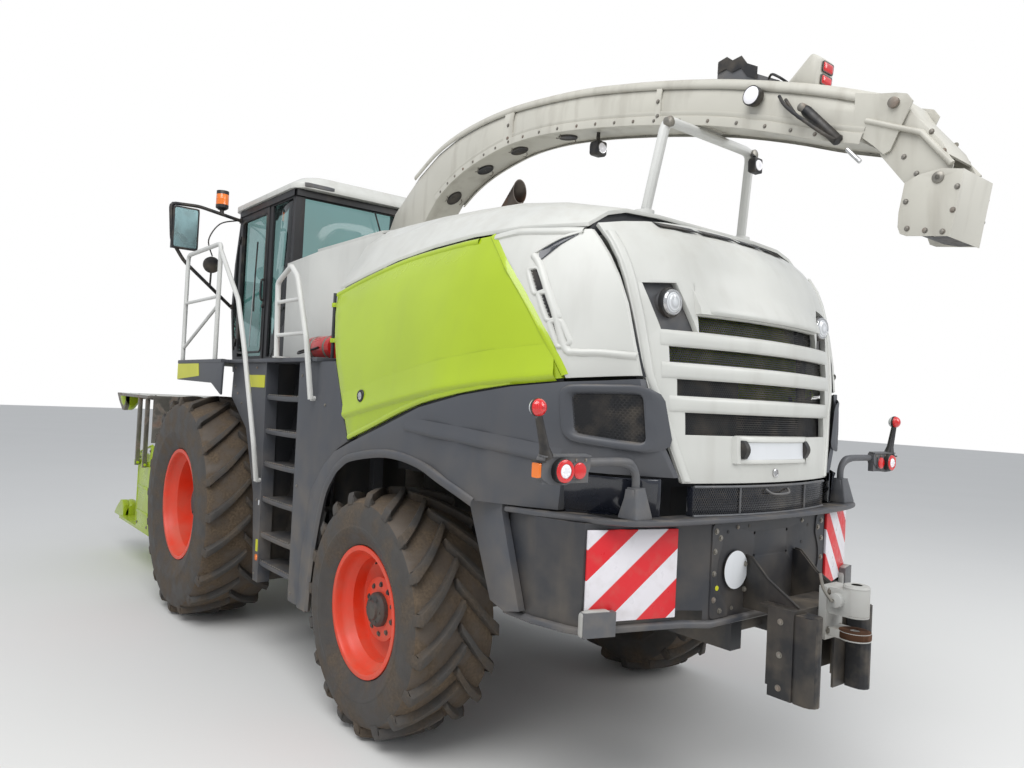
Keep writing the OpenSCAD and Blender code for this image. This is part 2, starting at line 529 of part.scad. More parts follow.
// Upper and lower edges of the green door, [length, height], and how far its rear seam bows
seam_bow = 55;
green_top = smooth([[-2400, 2796], [-2800, 2884], [-3300, 2960], [-4050, 2992]], 3);
green_low = smooth([[-2863, 1790], [-3150, 1878], [-3738, 2055], [-4628, 2218]], 3);
green_hinge = [-2382, 1312];
green_pin_r = 12;
module green_door() {
    skin_panel(green_low, green_top, 6, bow = seam_bow);
    for (z = [2440, 2690]) difference() {
        union() {
            translate([green_hinge[0], green_hinge[1], z]) cylinder(r = 20, h = 30);
            span([green_arm(z) - 40, green_hinge[1] - 8, z], [green_hinge[0], green_hinge[1] + 8, z + 30]);
            span([green_arm(z) - 40, green_hinge[1] - 8, z],
                [green_arm(z) - 10, skin(green_arm(z), z) - panel_t / 2, z + 30]);
        }
        translate([green_hinge[0], green_hinge[1], z - 1]) cylinder(r = green_pin_r + run, h = 40);
    }
}
function green_arm(z) = -2863 + 463 * (z - 1790) / 1010;
module green_door_left() color(lime) at_axle() green_door();
module green_door_right() color(lime) at_axle() mirror([0, 1, 0]) green_door();
// Front and rear edges of the white rear side panel
white_steps = 6;
function edge_row(a, b) = [for (i = [0 : white_steps]) a + (b - a) * i / white_steps];
function bowed(row) = [for (i = [0 : len(row) - 1]) let (s = i / (len(row) - 1))
    row[i] - [seam_bow * 4 * s * (1 - s), 0]];
white_front = bowed(edge_row([-4645, 2218], [-4066, 2992]));
white_rear = smooth([[-4915, 2245], [-4840, 2600], [-4725, 2850], [-4615, 2990]], 2);
// Vents beside the seam, [length, height], and the sunk panel's front and rear edges
vents = [[[-4383, 2773], [-4420, 2780], [-4489, 2668], [-4447, 2653]],
    [[-4472, 2642], [-4510, 2643], [-4577, 2523], [-4538, 2512]],
    [[-4554, 2492], [-4590, 2500], [-4643, 2397], [-4604, 2379]]];
vent_low = edge_row([-4372, 2760], [-4600, 2362]);
vent_top = edge_row([-4434, 2790], [-4662, 2392]);
module rear_side_panels() color(offwhite) at_axle() both() {
    place = function(i, k, deep)
        let (p = white_front[i] * (1 - k / white_steps) + white_rear[i] * k / white_steps)
        [p[0], skin(p[0], p[1]) - deep, p[1]];
    difference() {
        shell([for (k = [0 : white_steps]) [for (i = [0 : white_steps]) place(i, k, 0)]],
            [for (k = [0 : white_steps]) [for (i = [0 : white_steps]) place(i, k, panel_t)]]);
        for (v = vents) side_plate(v, 900, 1500);
    }
    hoop_bracket(2700, panel_t / 2);
    skin_panel(vent_low, vent_top, 4, -panel_t + 2, 5);
}
// Bracket behind a panel, from inside it to the rear face of the rear hoop
bracket_w = 30;
module hoop_bracket(z, deep) {
    x = rear_hoop_x - hoop_t / 2;
    y = skin(x - bracket_w, z + bracket_w) - deep;
    span([x - bracket_w, y - 100, z - bracket_w], [x, y, z + bracket_w]);
}
// Outer and inner edge of the rear fender, from its front foot over the arch to the rear corner
fender_outer = [[-2250, 560], [-2286, 961], [-2386, 1407], [-2570, 1600], [-2720, 1700], [-2955, 1782],
    [-3350, 1905], [-3738, 2030], [-4100, 2110], [-4400, 2165], [-4640, 2197], [-4655, 2199], [-4667, 2200],
    [-4820, 2214], [-4925, 2228]];
fender_inner = [[-2390, 560], [-2440, 961], [-2560, 1380], [-2690, 1560], [-2800, 1640], [-2965, 1705],
    [-3400, 1763], [-3766, 1735], [-4042, 1646], [-4230, 1570], [-4500, 1570], [-4650, 1570], [-4662, 1768],
    [-4850, 1762], [-5000, 1752]];
fender_proud = 20;
fender_t = 40;
// Opening over the fender's grille, [length, height], and the sunk panel's edges, a little larger
grille = [[-4696, 1944], [-4672, 2148], [-4940, 2162], [-4958, 1908]];
grille_low = [[-4684, 1932], [-4820, 1910], [-4970, 1896]];
grille_top = [[-4658, 2158], [-4785, 2168], [-4952, 2174]];
module rear_fenders() color(anthracite) at_axle() both() {
    difference() {
        skin_panel(fender_inner, fender_outer, 3, fender_proud, fender_t);
        side_plate(grille, 700, 1500);
    }
    skin_panel(grille_low, grille_top, 2, -6, 10);
    hoop_bracket(1930, 5);
    side_plate([[-4100, 1600], [-4380, 1600], [-4372, 1535], [-4545, 1065], [-4425, 1038], [-4310, 1070],
        [-4090, 1541]], 1250, 1290);
}

// Rear cowl: [height, length at the middle], its bow across, and its half width by height
cowl_line = [[1720, -5105], [2035, -5085], [2300, -5070], [2550, -5040], [2750, -5000], [2870, -4955],
    [2980, -4880], [3060, -4790], [3110, -4700], [3140, -4625]];
cowl_bow = 0.00022;
cowl_half = [[1720, 660], [2250, 865], [2650, 915], [3035, 955]];
cowl_low_z = 1725;
cowl_top_z = 3135;
cowl_drop = 110;
function cowl_x(y, z) = lookup(z, cowl_line) + cowl_bow * y * y;
function cowl_point(u, v) =
    let (z0 = cowl_low_z + (cowl_top_z - cowl_low_z) * v, y = u * lookup(z0, cowl_half),
        z = z0 - cowl_drop * u * u * v * v)
    [cowl_x(y, z), y, z];
// Air slots: [height, opening, half width]
slots = [[2528, 84, 550], [2364, 80, 730], [2200, 84, 690], [2020, 112, 645]];
lamp_r = 62;
cowl_t = 30;
// Strip that stands proud of the cowl between two widths and two heights, its back inside the cowl's wall
module cowl_strip(y, z, out, steps) {
    far = is_list(out) ? out : [out, out];
    grid = function(deep) [for (i = [0 : steps]) let (w = y[1] + (y[0] - y[1]) * i / steps)
        [for (j = [0, 1]) [cowl_x(w, z[j]) + (deep ? cowl_t / 2 : -far[j]), w, z[j]]]];
    shell(grid(false), grid(true));
}
visor_y = 560;
visor_z = 2578;
visor_out = 34;
// Lamp opening in the cowl, [width, height], and the dark panel behind it
lamp_opening = [[556, 2484], [768, 2484], [846, 2714], [656, 2730]];
lamp_grow = 1.08;
function lamp_place(s, t) =
    let (m = (lamp_opening[0] + lamp_opening[1] + lamp_opening[2] + lamp_opening[3]) / 4,
    low = lamp_opening[0] * (1 - s) + lamp_opening[1] * s,
    top = lamp_opening[3] * (1 - s) + lamp_opening[2] * s,
    p = low * (1 - t) + top * t) m + (p - m) * lamp_grow;
module lamp_panel(t) {
    grid = function(deep) [for (i = [0 : 4]) [for (j = [0 : 3]) let (p = lamp_place(1 - i / 4, j / 3))
        [cowl_x(p[0] / 0.985, p[1]) + cowl_t + 6 + deep, p[0], p[1]]]];
    shell(grid(0), grid(t));
}
module rear_cowl() color(offwhite) at_axle() {
    difference() {
        shell([for (i = [0 : 12]) [for (j = [0 : 12]) cowl_point(1 - i / 6, j / 12)]],
            [for (i = [0 : 12]) [for (j = [0 : 12]) let (p = cowl_point(1 - i / 6, j / 12))
                [p[0] + cowl_t, p[1] * 0.985, p[2] - (j == 12 ? 8 : 0)]]]);
        for (s = slots) span([-5300, -s[2], s[0] - s[1] / 2], [-4700, s[2], s[0] + s[1] / 2]);
        both() translate([-5300, 0, 0]) rotate([90, 0, 90]) linear_extrude(700) polygon(lamp_opening);
    }
    cowl_strip([-visor_y, visor_y], [visor_z, visor_z + 30], visor_out, 8);
    cowl_strip([-visor_y, visor_y], [visor_z + 30, visor_z + 120], [visor_out, 2], 8);
    cowl_strip([-270, 270], [1838, 1950], 12, 6);
    both() difference() {
        union() {
            across(cowl_hinge_x, cowl_hinge_z, cowl_hinge_y - 14, cowl_hinge_y + 14, 14);
            side_plate([[cowl_hinge_x, 3108], [cowl_hinge_x, 3130], [-4650, 3120], [-4725, 3080], [-4720, 3050],
                [-4650, 3085]], cowl_hinge_y - 14, cowl_hinge_y + 14);
        }
        across(cowl_hinge_x, cowl_hinge_z, 0, 500, 8 + run);
    }
}
module cowl_lamps() color("white") at_axle() both() {
    lamp_panel(12);
    translate([-4925, 700, 2625]) rotate([0, 90, 0]) cylinder(r = lamp_r, h = 60);
}
// Plan band that follows the cowl's low edge
function band(y_end, in) = concat([for (i = [-8 : 8]) let (y = y_end * i / 8) [cowl_x(y, 1720) + in, y]]);
side_band = [-4652, -4820, -4970];
side_band_z = 1745;
module mesh_band() color("black") at_axle() {
    translate([0, 0, belt_top_z]) linear_extrude(150)
        polygon(concat(band(600, 0), [for (i = [8 : -1 : -8]) let (y = 600 * i / 8) [cowl_x(y, 1720) + 40, y]]));
    both() skin_panel([for (x = side_band) [x, belt_top_z + run]], [for (x = side_band) [x, side_band_z]],
        2, -26, 12);
}

// Tail box: plan outline of half of it, [length, half width]
belt_top_z = 1560;
belt_t = 25;
tail_low_z = 1020;
tail_plan = [[-4390, 1244], [-4600, 1244], [-4800, 1200], [-4860, 1175], [-5015, 640], [tail_x, 520],
    [tail_x, 0]];
belt_plan = [[-4400, 1290], [-4600, 1240], [-4850, 1145], [-5000, 1030], [-5085, 800], [-5140, 350],
    [-5150, 0]];
function both_halves(p) = concat(p, [for (i = [len(p) - 2 : -1 : 0]) [p[i][0], -p[i][1]]]);
hole_mid_z = 1400;
module tail_frame() color(anthracite) at_axle() {
    difference() {
        translate([0, 0, tail_low_z]) linear_extrude(belt_top_z - belt_t - tail_low_z)
            polygon(both_halves(tail_plan));
        translate([0, 0, tail_low_z + 15]) linear_extrude(515)
            polygon(both_halves([for (q = tail_plan) [q[0] + tail_wall, q[1] - (q[1] > 0 ? tail_wall : 0)]]));
        span([tail_x + tail_wall, -700, 1000], [-4300, 700, 1100]);
        for (y = [-1, 1], z = [-1, 1])
            translate([-5200, y * tail_hole_dy / 2, hole_mid_z + z * tail_hole_dz / 2]) rotate([0, 90, 0])
                cylinder(r = tail_hole_r, h = 300);
    }
    difference() {
        translate([0, 0, belt_top_z - belt_t]) linear_extrude(belt_t) polygon(both_halves(belt_plan));
        span([-4960, -1050, 1500], [-4300, 1050, 1600]);
    }
}
// Flat rear corner of the tail, in plan, and its plates
facet_a = tail_plan[4];
facet_b = tail_plan[3];
facet_dir = (facet_b - facet_a) / norm(facet_b - facet_a);
facet_out = [-facet_dir[1], facet_dir[0]];
panel_out = 16;
module facet_plate(from, to, out0, out1, z0, z1) translate([0, 0, z0]) linear_extrude(z1 - z0)
    polygon([facet_a + facet_dir * from + facet_out * out0, facet_a + facet_dir * to + facet_out * out0,
        facet_a + facet_dir * to + facet_out * out1, facet_a + facet_dir * from + facet_out * out1]);
module warning_panels() color("white") at_axle() both() facet_plate(45, 545, run, panel_out, 1073, 1506);

// Hitch: gussets from the tail plate, two channels with rubber buffers, and the cross plate between them
cross_x = -5420;
channel_x = -5290;
channel_y = 300;
channel_in_y = 86;
channel_z0 = 710;
channel_z1 = 1145;
hitch_t = 12;
buffer_out = 90;
gusset_y = 216;
module hitch_frame() color([0.12, 0.12, 0.13]) at_axle() {
    both() {
        side_plate([[tail_x - run, 1080], [tail_x - run, 1350], [-5130, 1345], [-5230, 1250],
            [cross_x + hitch_t, channel_z1], [cross_x + hitch_t, channel_z1 - 60]], gusset_y, gusset_y + hitch_t);
        span([cross_x, channel_in_y, channel_z0], [cross_x + hitch_t, channel_y, channel_z1]);
        span([cross_x, channel_y - hitch_t, channel_z0], [channel_x, channel_y, channel_z1]);
        translate([cross_x - 30, (channel_y + 200) / 2 - 5, channel_z0]) {
            span([-buffer_out + 60, -45, 0], [30, 45, channel_z1 - channel_z0 - 20]);
            translate([-buffer_out + 60, 0, 0]) cylinder(r = 45, h = channel_z1 - channel_z0 - 20, $fn = 32);
        }
    }
    span([cross_x, -channel_y, channel_z1 - hitch_t], [channel_x + 60, channel_y, channel_z1]);
    difference() {
        span([channel_x, -channel_y, 760], [channel_x + hitch_t, channel_y, channel_z1]);
        span([channel_x - 1, -60, 870], [channel_x + 20, 60, 900]);
    }
}
// Tow coupling: its head and its lower jaw with the pin's bore, bolted to the cross plate
jaw_x = -5570;
jaw_z = 1010;
jaw_t = 40;
jaw_gap = 70;
head_h = 130;
module tow_coupling() color([0.70, 0.70, 0.68]) at_axle() difference() {
    union() {
        span([cross_x - 40, -80, jaw_z - 20], [cross_x - run, 80, jaw_z + jaw_t + jaw_gap + head_h]);
        span([cross_x - 1, -70, jaw_z - 10], [channel_x - run, 70, channel_z1 - hitch_t - run]);
        translate([0, 0, jaw_z]) {
            span([jaw_x, -60, 0], [cross_x - 40, 60, jaw_t]);
            translate([jaw_x, 0, 0]) cylinder(r = 75, h = jaw_t);
        }
        translate([0, 0, jaw_z + jaw_t + jaw_gap]) {
            span([jaw_x, -62, 0], [cross_x - 40, 62, head_h]);
            translate([jaw_x, 0, 0]) cylinder(r = 62, h = head_h + 10);
            translate([jaw_x + 60, -95, head_h / 2 + 10]) rotate([-90, 0, 0]) cylinder(r = 34, h = 190);
        }
    }
    translate([jaw_x, 0, 900]) cylinder(r = tow_bore_r, h = 500);
}

// Rear lamps on their bent arms, with the rubber marker arms
lamp_y = 1464;
lamp_z = 1802;
module rear_lights() color(anthracite) at_axle() both() {
    side_plate([[-5005, belt_top_z], [-4905, belt_top_z], [-4930, 1700], [-4975, 1700]], 895, 985);
    tube([[-4952, 940, 1700], [-4952, 940, 1790], [-4958, 1040, 1830], [-4958, 1300, 1830]], 36);
    span([-4985, 1290, 1745], [-4950, 1560, 1860]);
    translate([-5020, lamp_y, lamp_z]) rotate([0, 90, 0]) cylinder(r = 48, h = 40);
    span([-5000, 1325, 1765], [-4985, 1395, 1835]);
    span([-4985, 1560, 1770], [-4945, 1582, 1835]);
    bar([-4968, 1530, 1855], [-4969, 1591, 2050], 30);
    translate([-4969, 1591, 2071]) sphere(r = 38);
    facet_plate(400, 570, panel_out + run, panel_out + 40, 1015, 1130);
}

// Rest for the spout on the hood
rest_x = -4480;
rest_bar_z = 3716;
rest_d = 60;
hood_rest_z = 3194;
module spout_rest() color("white") at_axle() difference() {
    tube([[rest_x, 457, hood_rest_z - 60], [rest_x - 90, 400, rest_bar_z], [rest_x - 90, -400, rest_bar_z],
        [rest_x, -457, hood_rest_z - 60]], rest_d);
    span([rest_x - 200, -600, 3000], [rest_x + 200, 600, hood_rest_z]);
}
exhaust_x = -2100;
exhaust_y = -270;
exhaust_r = 72;
exhaust_bend_z = 3500;
exhaust_lean = 45;
cuff = 8;
mouth_x = -2430;
module exhaust_stack() color(steel) at_axle() difference() {
    union() {
        translate([exhaust_x, exhaust_y, 2200]) cylinder(r = exhaust_r, h = exhaust_bend_z - 2200);
        translate([exhaust_x, exhaust_y, exhaust_bend_z]) {
            sphere(r = exhaust_r + cuff);
            rotate([0, -exhaust_lean, 0]) cylinder(r = exhaust_r, h = 600);
        }
        span([engine_front_x + run, exhaust_y - 150, 1910], [exhaust_x + 110, exhaust_y + 150, 2210]);
    }
    translate([mouth_x - 400, exhaust_y - 200, exhaust_bend_z]) cube([400, 400, 800]);
    translate([exhaust_x, exhaust_y, exhaust_bend_z]) rotate([0, -exhaust_lean, 0]) translate([0, 0, 120])
        cylinder(r = exhaust_r - 7, h = 620);
}

// Turret and spout: [top length, top height, bottom length, bottom height] along the spout
spout_line = [[-790, 3275, -1310, 3275], [-800, 3430, -1370, 3380], [-870, 3620, -1470, 3480],
    [-990, 3800, -1575, 3575], [-1154, 3908, -1680, 3680], [-1401, 4072, -1800, 3790],
    [-1718, 4217, -1980, 3885], [-2017, 4293, -2200, 3962], [-2369, 4330, -2480, 4018],
    [-2758, 4334, -2790, 4050], [-3169, 4300, -3150, 4038], [-3590, 4244, -3550, 3985],
    [-3966, 4169, -3910, 3918], [-4304, 4091, -4250, 3845], [-4715, 3981, -4660, 3742],
    [-5100, 3856, -5040, 3618], [-5400, 3745, -5335, 3505], [-5644, 3640, -5578, 3425]];
ring_r = 300;
ring_top_z = 3255;
spout_hinge_x = turret_x + 330;
spout_hinge_z = 3262;
hinge_d = 40;
module turret_base() color(steel) at_axle() translate([turret_x, 0, rail_z1]) difference() {
    cylinder(r = ring_r, h = 2040);
    translate([0, 0, 1000]) cylinder(r = ring_r - 30, h = 1100);
}
module spout_turret() color(offwhite) at_axle() difference() {
    union() {
        translate([turret_x, 0, rail_z1 + 2040 + run])
            cylinder(r = ring_r, h = ring_top_z - rail_z1 - 2040 - run);
        both() span([turret_x + 200, 195, ring_top_z - 100], [spout_hinge_x + 35, 215, spout_hinge_z + 35]);
    }
    translate([turret_x, 0, rail_z1 + 2000]) cylinder(r = ring_r - 30, h = 300);
    across(spout_hinge_x, spout_hinge_z, -300, 300, hinge_d / 2 + run);
}
half_w = spout_w / 2;
// Ring of a hollow section: rounded top, flat sides, inset by d
function section_at(r, d) =
    let (up = [r[0] - r[2], 0, r[1] - r[3]], h = norm(up), n = up / h, base = [r[2], 0, r[3]])
    [for (q = [[-1, 0], [-1, 0.55], [-0.86, 0.85], [-0.55, 1], [0.55, 1], [0.86, 0.85], [1, 0.55], [1, 0]])
        base + n * (q[1] * (h - d) + (q[1] == 0 ? d : 0)) + [0, q[0] * (half_w - d), 0]];
module spout_body(d, line) {
    rings = [for (r = line) section_at(r, d)];
    m = len(rings[0]);
    points = [for (r = rings) each r];
    polyhedron(points, concat(
        [for (i = [0 : len(rings) - 2], j = [0 : m - 1]) each let (a = i * m + j, b = i * m + (j + 1) % m)
            [[a, b + m, b], [a, a + m, b + m]]],
        [[for (j = [0 : m - 1]) j]], [[for (j = [m - 1 : -1 : 0]) (len(rings) - 1) * m + j]]), convexity = 6);
}
flap_hinge_x = -5734;
flap_hinge_z = 3570;
flap_pin_r = 15;
lower_hinge_x = -5948;
lower_hinge_z = 3176;
lower_pin_r = 12;
mouth = 20;
last_row = len(spout_line) - 1;
// The spout's three lengths are bolted together at these rows
joint_row = 9;
end_row = 13;
function rows(from, to) = [for (i = [from : to]) spout_line[i]];
rest_pad_z = rest_bar_z + rest_d / 2 + 8;
// Cheek plates that carry the flap, on the outside of the spout's end: outline [length, height]
cheek = [[-5540, 3480], [-5540, 3672], [-5640, 3640], [-5740, 3618], [-5790, 3600], [-5818, 3560], [-5722, 3351],
    [-5690, 3338], [-5640, 3390]];
cheek_y = half_w - 6;
flap_y = half_w - 20;
lower_flap_y = half_w + 10;
plate_t = 8;
module spout_arm() color(offwhite) at_axle() {
    difference() {
        union() {
            spout_body(0, rows(0, joint_row));
            both() side_plate([[spout_hinge_x - 30, spout_hinge_z - 35], [spout_hinge_x + 35, spout_hinge_z - 35],
                [spout_hinge_x + 35, spout_hinge_z + 30], [-800, 3380], [-1080, 3420], [-1080, 3290],
                [-775, 3290]], half_w - spout_wall, half_w);
        }
        spout_body(spout_wall, concat([spout_line[0] - [0, mouth, 0, mouth]], rows(0, joint_row + 1)));
    }
    both() across(spout_hinge_x, spout_hinge_z, half_w - spout_wall, 215, hinge_d / 2);
}
module spout_middle() color(offwhite) at_axle() difference() {
    spout_body(0, rows(joint_row, end_row));
    spout_body(spout_wall, rows(joint_row - 1, end_row + 1));
}
module spout_end() color(offwhite) at_axle() {
    difference() {
        spout_body(0, rows(end_row, last_row));
        spout_body(spout_wall, concat(rows(end_row - 1, last_row),
            [spout_line[last_row] - [mouth, 0, mouth, 0]]));
    }
    both() {
        side_plate(cheek, cheek_y, cheek_y + 10);
        across(flap_hinge_x, flap_hinge_z, flap_y - 6, half_w + 22, flap_pin_r);
    }
    span([rest_x - 120, -100, rest_pad_z], [rest_x - 60, 100, rest_pad_z + 30]);
}
// Lamps on the spout: a hanging work lamp, and a bracket with a round lamp and a pod near its end
module spout_lamps() color("black") at_axle() {
    bar([-3614, 0, 3970], [-3614, 0, 3905], 30);
    span([-3660, -45, 3800], [-3570, 45, 3910]);
    side_plate([[-4660, 3996.7], [-4715, 3981.8], [-4790, 3957.6], [-4800, 4080], [-4650, 4120]], 20, 72);
    side_plate([[-4789, 3957.5], [-5040, 3876.4], [-5060, 3905], [-4900, 3990], [-4780, 4040]], -20, 70);
    translate([-4980, half_w + run, 3800]) rotate([-90, 0, 0]) cylinder(r = 52, h = 60);
    side_plate([[-5102, 3856], [-5290, 3786.4], [-5310, 3950], [-5250, 3990]], -70, 70);
}
module upper_flap() color(offwhite) at_axle() {
    both() difference() {
        side_plate([[-5660, 3600], [-5700, 3618], [-5765, 3592], [-5809, 3513], [-5947, 3343], [-5998, 3235],
            [-5985, 3150], [-5948, 3130], [-5900, 3125], [-5789, 3182], [-5755, 3226], [-5671, 3337],
            [-5628, 3440]], flap_y, flap_y + plate_t);
        across(flap_hinge_x, flap_hinge_z, 0, 300, flap_pin_r + run);
    }
    both() across(lower_hinge_x, lower_hinge_z, flap_y, lower_flap_y + plate_t + 8, lower_pin_r);
    side_plate([[-5765, 3592], [-5809, 3513], [-5947, 3343], [-5975, 3284], [-5966, 3280], [-5939, 3348],
        [-5800, 3519], [-5757, 3596]], -flap_y - plate_t, flap_y + plate_t);
}
module lower_flap() color(offwhite) at_axle() {
    both() difference() {
        side_plate([[-5801, 3178], [-5778, 3044], [-5776, 2978], [-5788, 2945], [-5815, 2932], [-6002, 2907],
            [-6050, 3195], [-5962, 3214], [-5860, 3204]], lower_flap_y, lower_flap_y + plate_t);
        across(lower_hinge_x, lower_hinge_z, 0, 300, lower_pin_r + run);
    }
    side_plate([[-6055, 3195], [-6007, 2902], [-5997, 2906], [-6046, 3195]],
        -lower_flap_y - plate_t, lower_flap_y + plate_t);
}

// Intake housing and the header's middle, with room for the crop's way
intake_half_w = 400;
duct_half_w = 320;
header_back_x = 1620;
header_low_z = 420;
module intake_housing() color(anthracite) at_axle() {
    difference() {
        side_plate([[700, 560], [700, 1250], [1100, 1380], [header_back_x - run, 1250], [header_back_x - run, 560]],
            -intake_half_w, intake_half_w);
        span([650, -duct_half_w, 640], [header_back_x + 10, duct_half_w, 1120]);
    }
    both() difference() {
        span([pivot_x - 60, rail_y + 8, pivot_z - 60], [720, rail_y + 38, pivot_z + 60]);
        across(pivot_x, pivot_z, 200, 500, pivot_r + run);
    }
}
header_half_w = header_w / 2;
fold_y = header_half_w + 45;
wing_top_z = 1950;
fold_z = (wing_top_z + header_low_z) / 2;
fold_r = 15;
fold_x = [1760, 2080];
pan_t = 30;
drum_x = 2420;
drum_y = 690;
drum_hub_r = 60;
drum_gap = 12;
// A divider point at the front edge of a pan
pan_x = 3000;
tip_x = 3435;
module point(y0, y1) side_plate([[pan_x - 10, 0], [pan_x - 10, 150], [3060, 210], [3140, 205], [3340, 90],
    [tip_x, 14], [tip_x, 0]], y0, y1);
module header_frame() color(lime) at_axle() {
    difference() {
        span([header_back_x, -header_half_w, header_low_z], [header_back_x + 40, header_half_w, 1400]);
        span([header_back_x - 10, -duct_half_w, 640], [header_back_x + 50, duct_half_w, 1120]);
    }
    span([header_back_x + 40, -header_half_w, header_low_z], [pan_x, header_half_w, header_low_z + pan_t]);
    span([header_back_x + 40, -header_half_w, 1300], [header_back_x + 120, header_half_w, 1400]);
    translate([0, 0, header_low_z]) point(-30, 30);
    both() {
        translate([0, 0, header_low_z]) point(1350, 1410);
        span([header_back_x + 40, header_half_w - 40, header_low_z + pan_t], [2200, header_half_w, 1300]);
        translate([drum_x, drum_y, header_low_z + pan_t]) cylinder(r = drum_hub_r, h = 100);
        for (x = fold_x) {
            span([x + 32, header_half_w - 1, fold_z - 30], [x + 60, fold_y + 20, fold_z + 30]);
            translate([x - 8, fold_y, fold_z]) rotate([0, 90, 0]) cylinder(r = fold_r, h = 60);
        }
    }
}
// A drum with its cutting disc and its guide disc, on a short shaft
function teeth(r, n, depth, rake) = [for (i = [0 : n - 1]) each
    [r * [cos(360 * i / n), sin(360 * i / n)],
    (r - depth) * [cos(360 * (i + rake) / n), sin(360 * (i + rake) / n)]]];
module drum() {
    difference() {
        union() {
            linear_extrude(12) polygon(teeth(drum_r, 36, 45, 0.35));
            cylinder(r = 280, h = 342);
            for (z = [110, 200, 290]) translate([0, 0, z]) linear_extrude(12) polygon(teeth(430, 16, 110, 0.3));
        }
        translate([0, 0, -1]) cylinder(r = drum_hub_r + run, h = 100);
    }
}
drum_z = header_low_z + pan_t + drum_gap;
module drum_left() color(steel) at_axle() translate([drum_x, drum_y, drum_z]) drum();
module drum_right() color(steel) at_axle() translate([drum_x, -drum_y, drum_z]) drum();
// A wing lies folded over the middle, its pan on top
wing_drum_y = 755;
module wing() {
    span([header_back_x + 80, 60, wing_top_z - pan_t], [pan_x, fold_y + 22, wing_top_z]);
    for (y = [60, 1410]) translate([0, 0, wing_top_z]) mirror([0, 0, 1]) point(y, y + 45);
    span([header_back_x + 80, 60, 1430], [header_back_x + 110, header_half_w, wing_top_z - pan_t]);
    translate([drum_x, wing_drum_y, wing_top_z - pan_t - 100]) cylinder(r = drum_hub_r, h = 100);
    for (x = fold_x) difference() {
        span([x, fold_y - 22, fold_z - 30], [x + 30, fold_y + 22, wing_top_z - pan_t]);
        translate([x - 20, fold_y, fold_z]) rotate([0, 90, 0]) cylinder(r = fold_r + run, h = 90);
    }
}
module wing_left() color(steel) at_axle() wing();
module wing_right() color(steel) at_axle() mirror([0, 1, 0]) wing();
module wing_drum() translate([drum_x, wing_drum_y, wing_top_z - pan_t - drum_gap]) mirror([0, 0, 1]) drum();
module wing_drum_left() color(steel) at_axle() wing_drum();
module wing_drum_right() color(steel) at_axle() mirror([0, 1, 0]) wing_drum();

chassis_frame();
front_axle();
rear_axle();
knuckle_left();
knuckle_right();
rim_front_left();
rim_front_right();
rim_rear_left();
rim_rear_right();
tyre_front_left();
tyre_front_right();
tyre_rear_left();
tyre_rear_right();
engine_block();
deck();
ladder_box();
hand_rails();
extinguisher();
cab_shell();
cab_roof();
cab_windows();
cab_door();
door_window();
driver_seat();
mirrors();
wedge_panels();
body_frame();
hood_roof();
green_door_left();
green_door_right();
rear_side_panels();
rear_fenders();
rear_cowl();
cowl_lamps();
mesh_band();
tail_frame();
warning_panels();
hitch_frame();
tow_coupling();
rear_lights();
spout_rest();
exhaust_stack();
turret_base();
spout_turret();
spout_arm();
spout_middle();
spout_end();
spout_lamps();
upper_flap();
lower_flap();
intake_housing();
header_frame();
drum_left();
drum_right();
wing_left();
wing_right();
wing_drum_left();
wing_drum_right();
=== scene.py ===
"""Looks of the forage harvester: finishes, fine pieces, light and camera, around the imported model."""
import math

import bmesh
import bpy
from mathutils import Matrix, Vector


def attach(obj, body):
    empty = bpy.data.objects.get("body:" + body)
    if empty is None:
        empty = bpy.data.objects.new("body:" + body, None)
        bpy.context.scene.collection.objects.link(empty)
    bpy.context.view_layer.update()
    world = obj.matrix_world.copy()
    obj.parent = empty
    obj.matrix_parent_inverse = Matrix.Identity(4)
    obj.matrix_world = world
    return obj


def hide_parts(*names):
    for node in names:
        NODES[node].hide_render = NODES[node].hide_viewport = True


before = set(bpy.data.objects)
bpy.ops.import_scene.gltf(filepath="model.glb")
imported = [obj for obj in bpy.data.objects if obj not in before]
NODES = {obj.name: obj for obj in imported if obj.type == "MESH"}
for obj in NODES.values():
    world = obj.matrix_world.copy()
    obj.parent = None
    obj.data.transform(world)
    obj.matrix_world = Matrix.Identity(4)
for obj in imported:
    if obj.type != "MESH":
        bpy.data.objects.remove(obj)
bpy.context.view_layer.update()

# Places on the machine, in metres; lengths are given from the front axle, as in the source
FRONT_AXLE_X = 1.31


def at(x, y, z):
    """A place given from the front axle, in the frame."""
    return Vector((x + FRONT_AXLE_X, y, z))


BACK = Vector((-1, 0, 0))
LEFT = Vector((0, 1, 0))
UP = Vector((0, 0, 1))


# Camera of the photograph
CAMERA_PLACE = at(-7.501, 3.755, 2.098)
CAMERA_YAW = -0.6727
CAMERA_PITCH = 0.0201
CAMERA_ROLL = 0.0482
CAMERA_FOCAL_PX = 782.9
IMAGE_WIDTH_PX = 1024
SENSOR_MM = 36.0


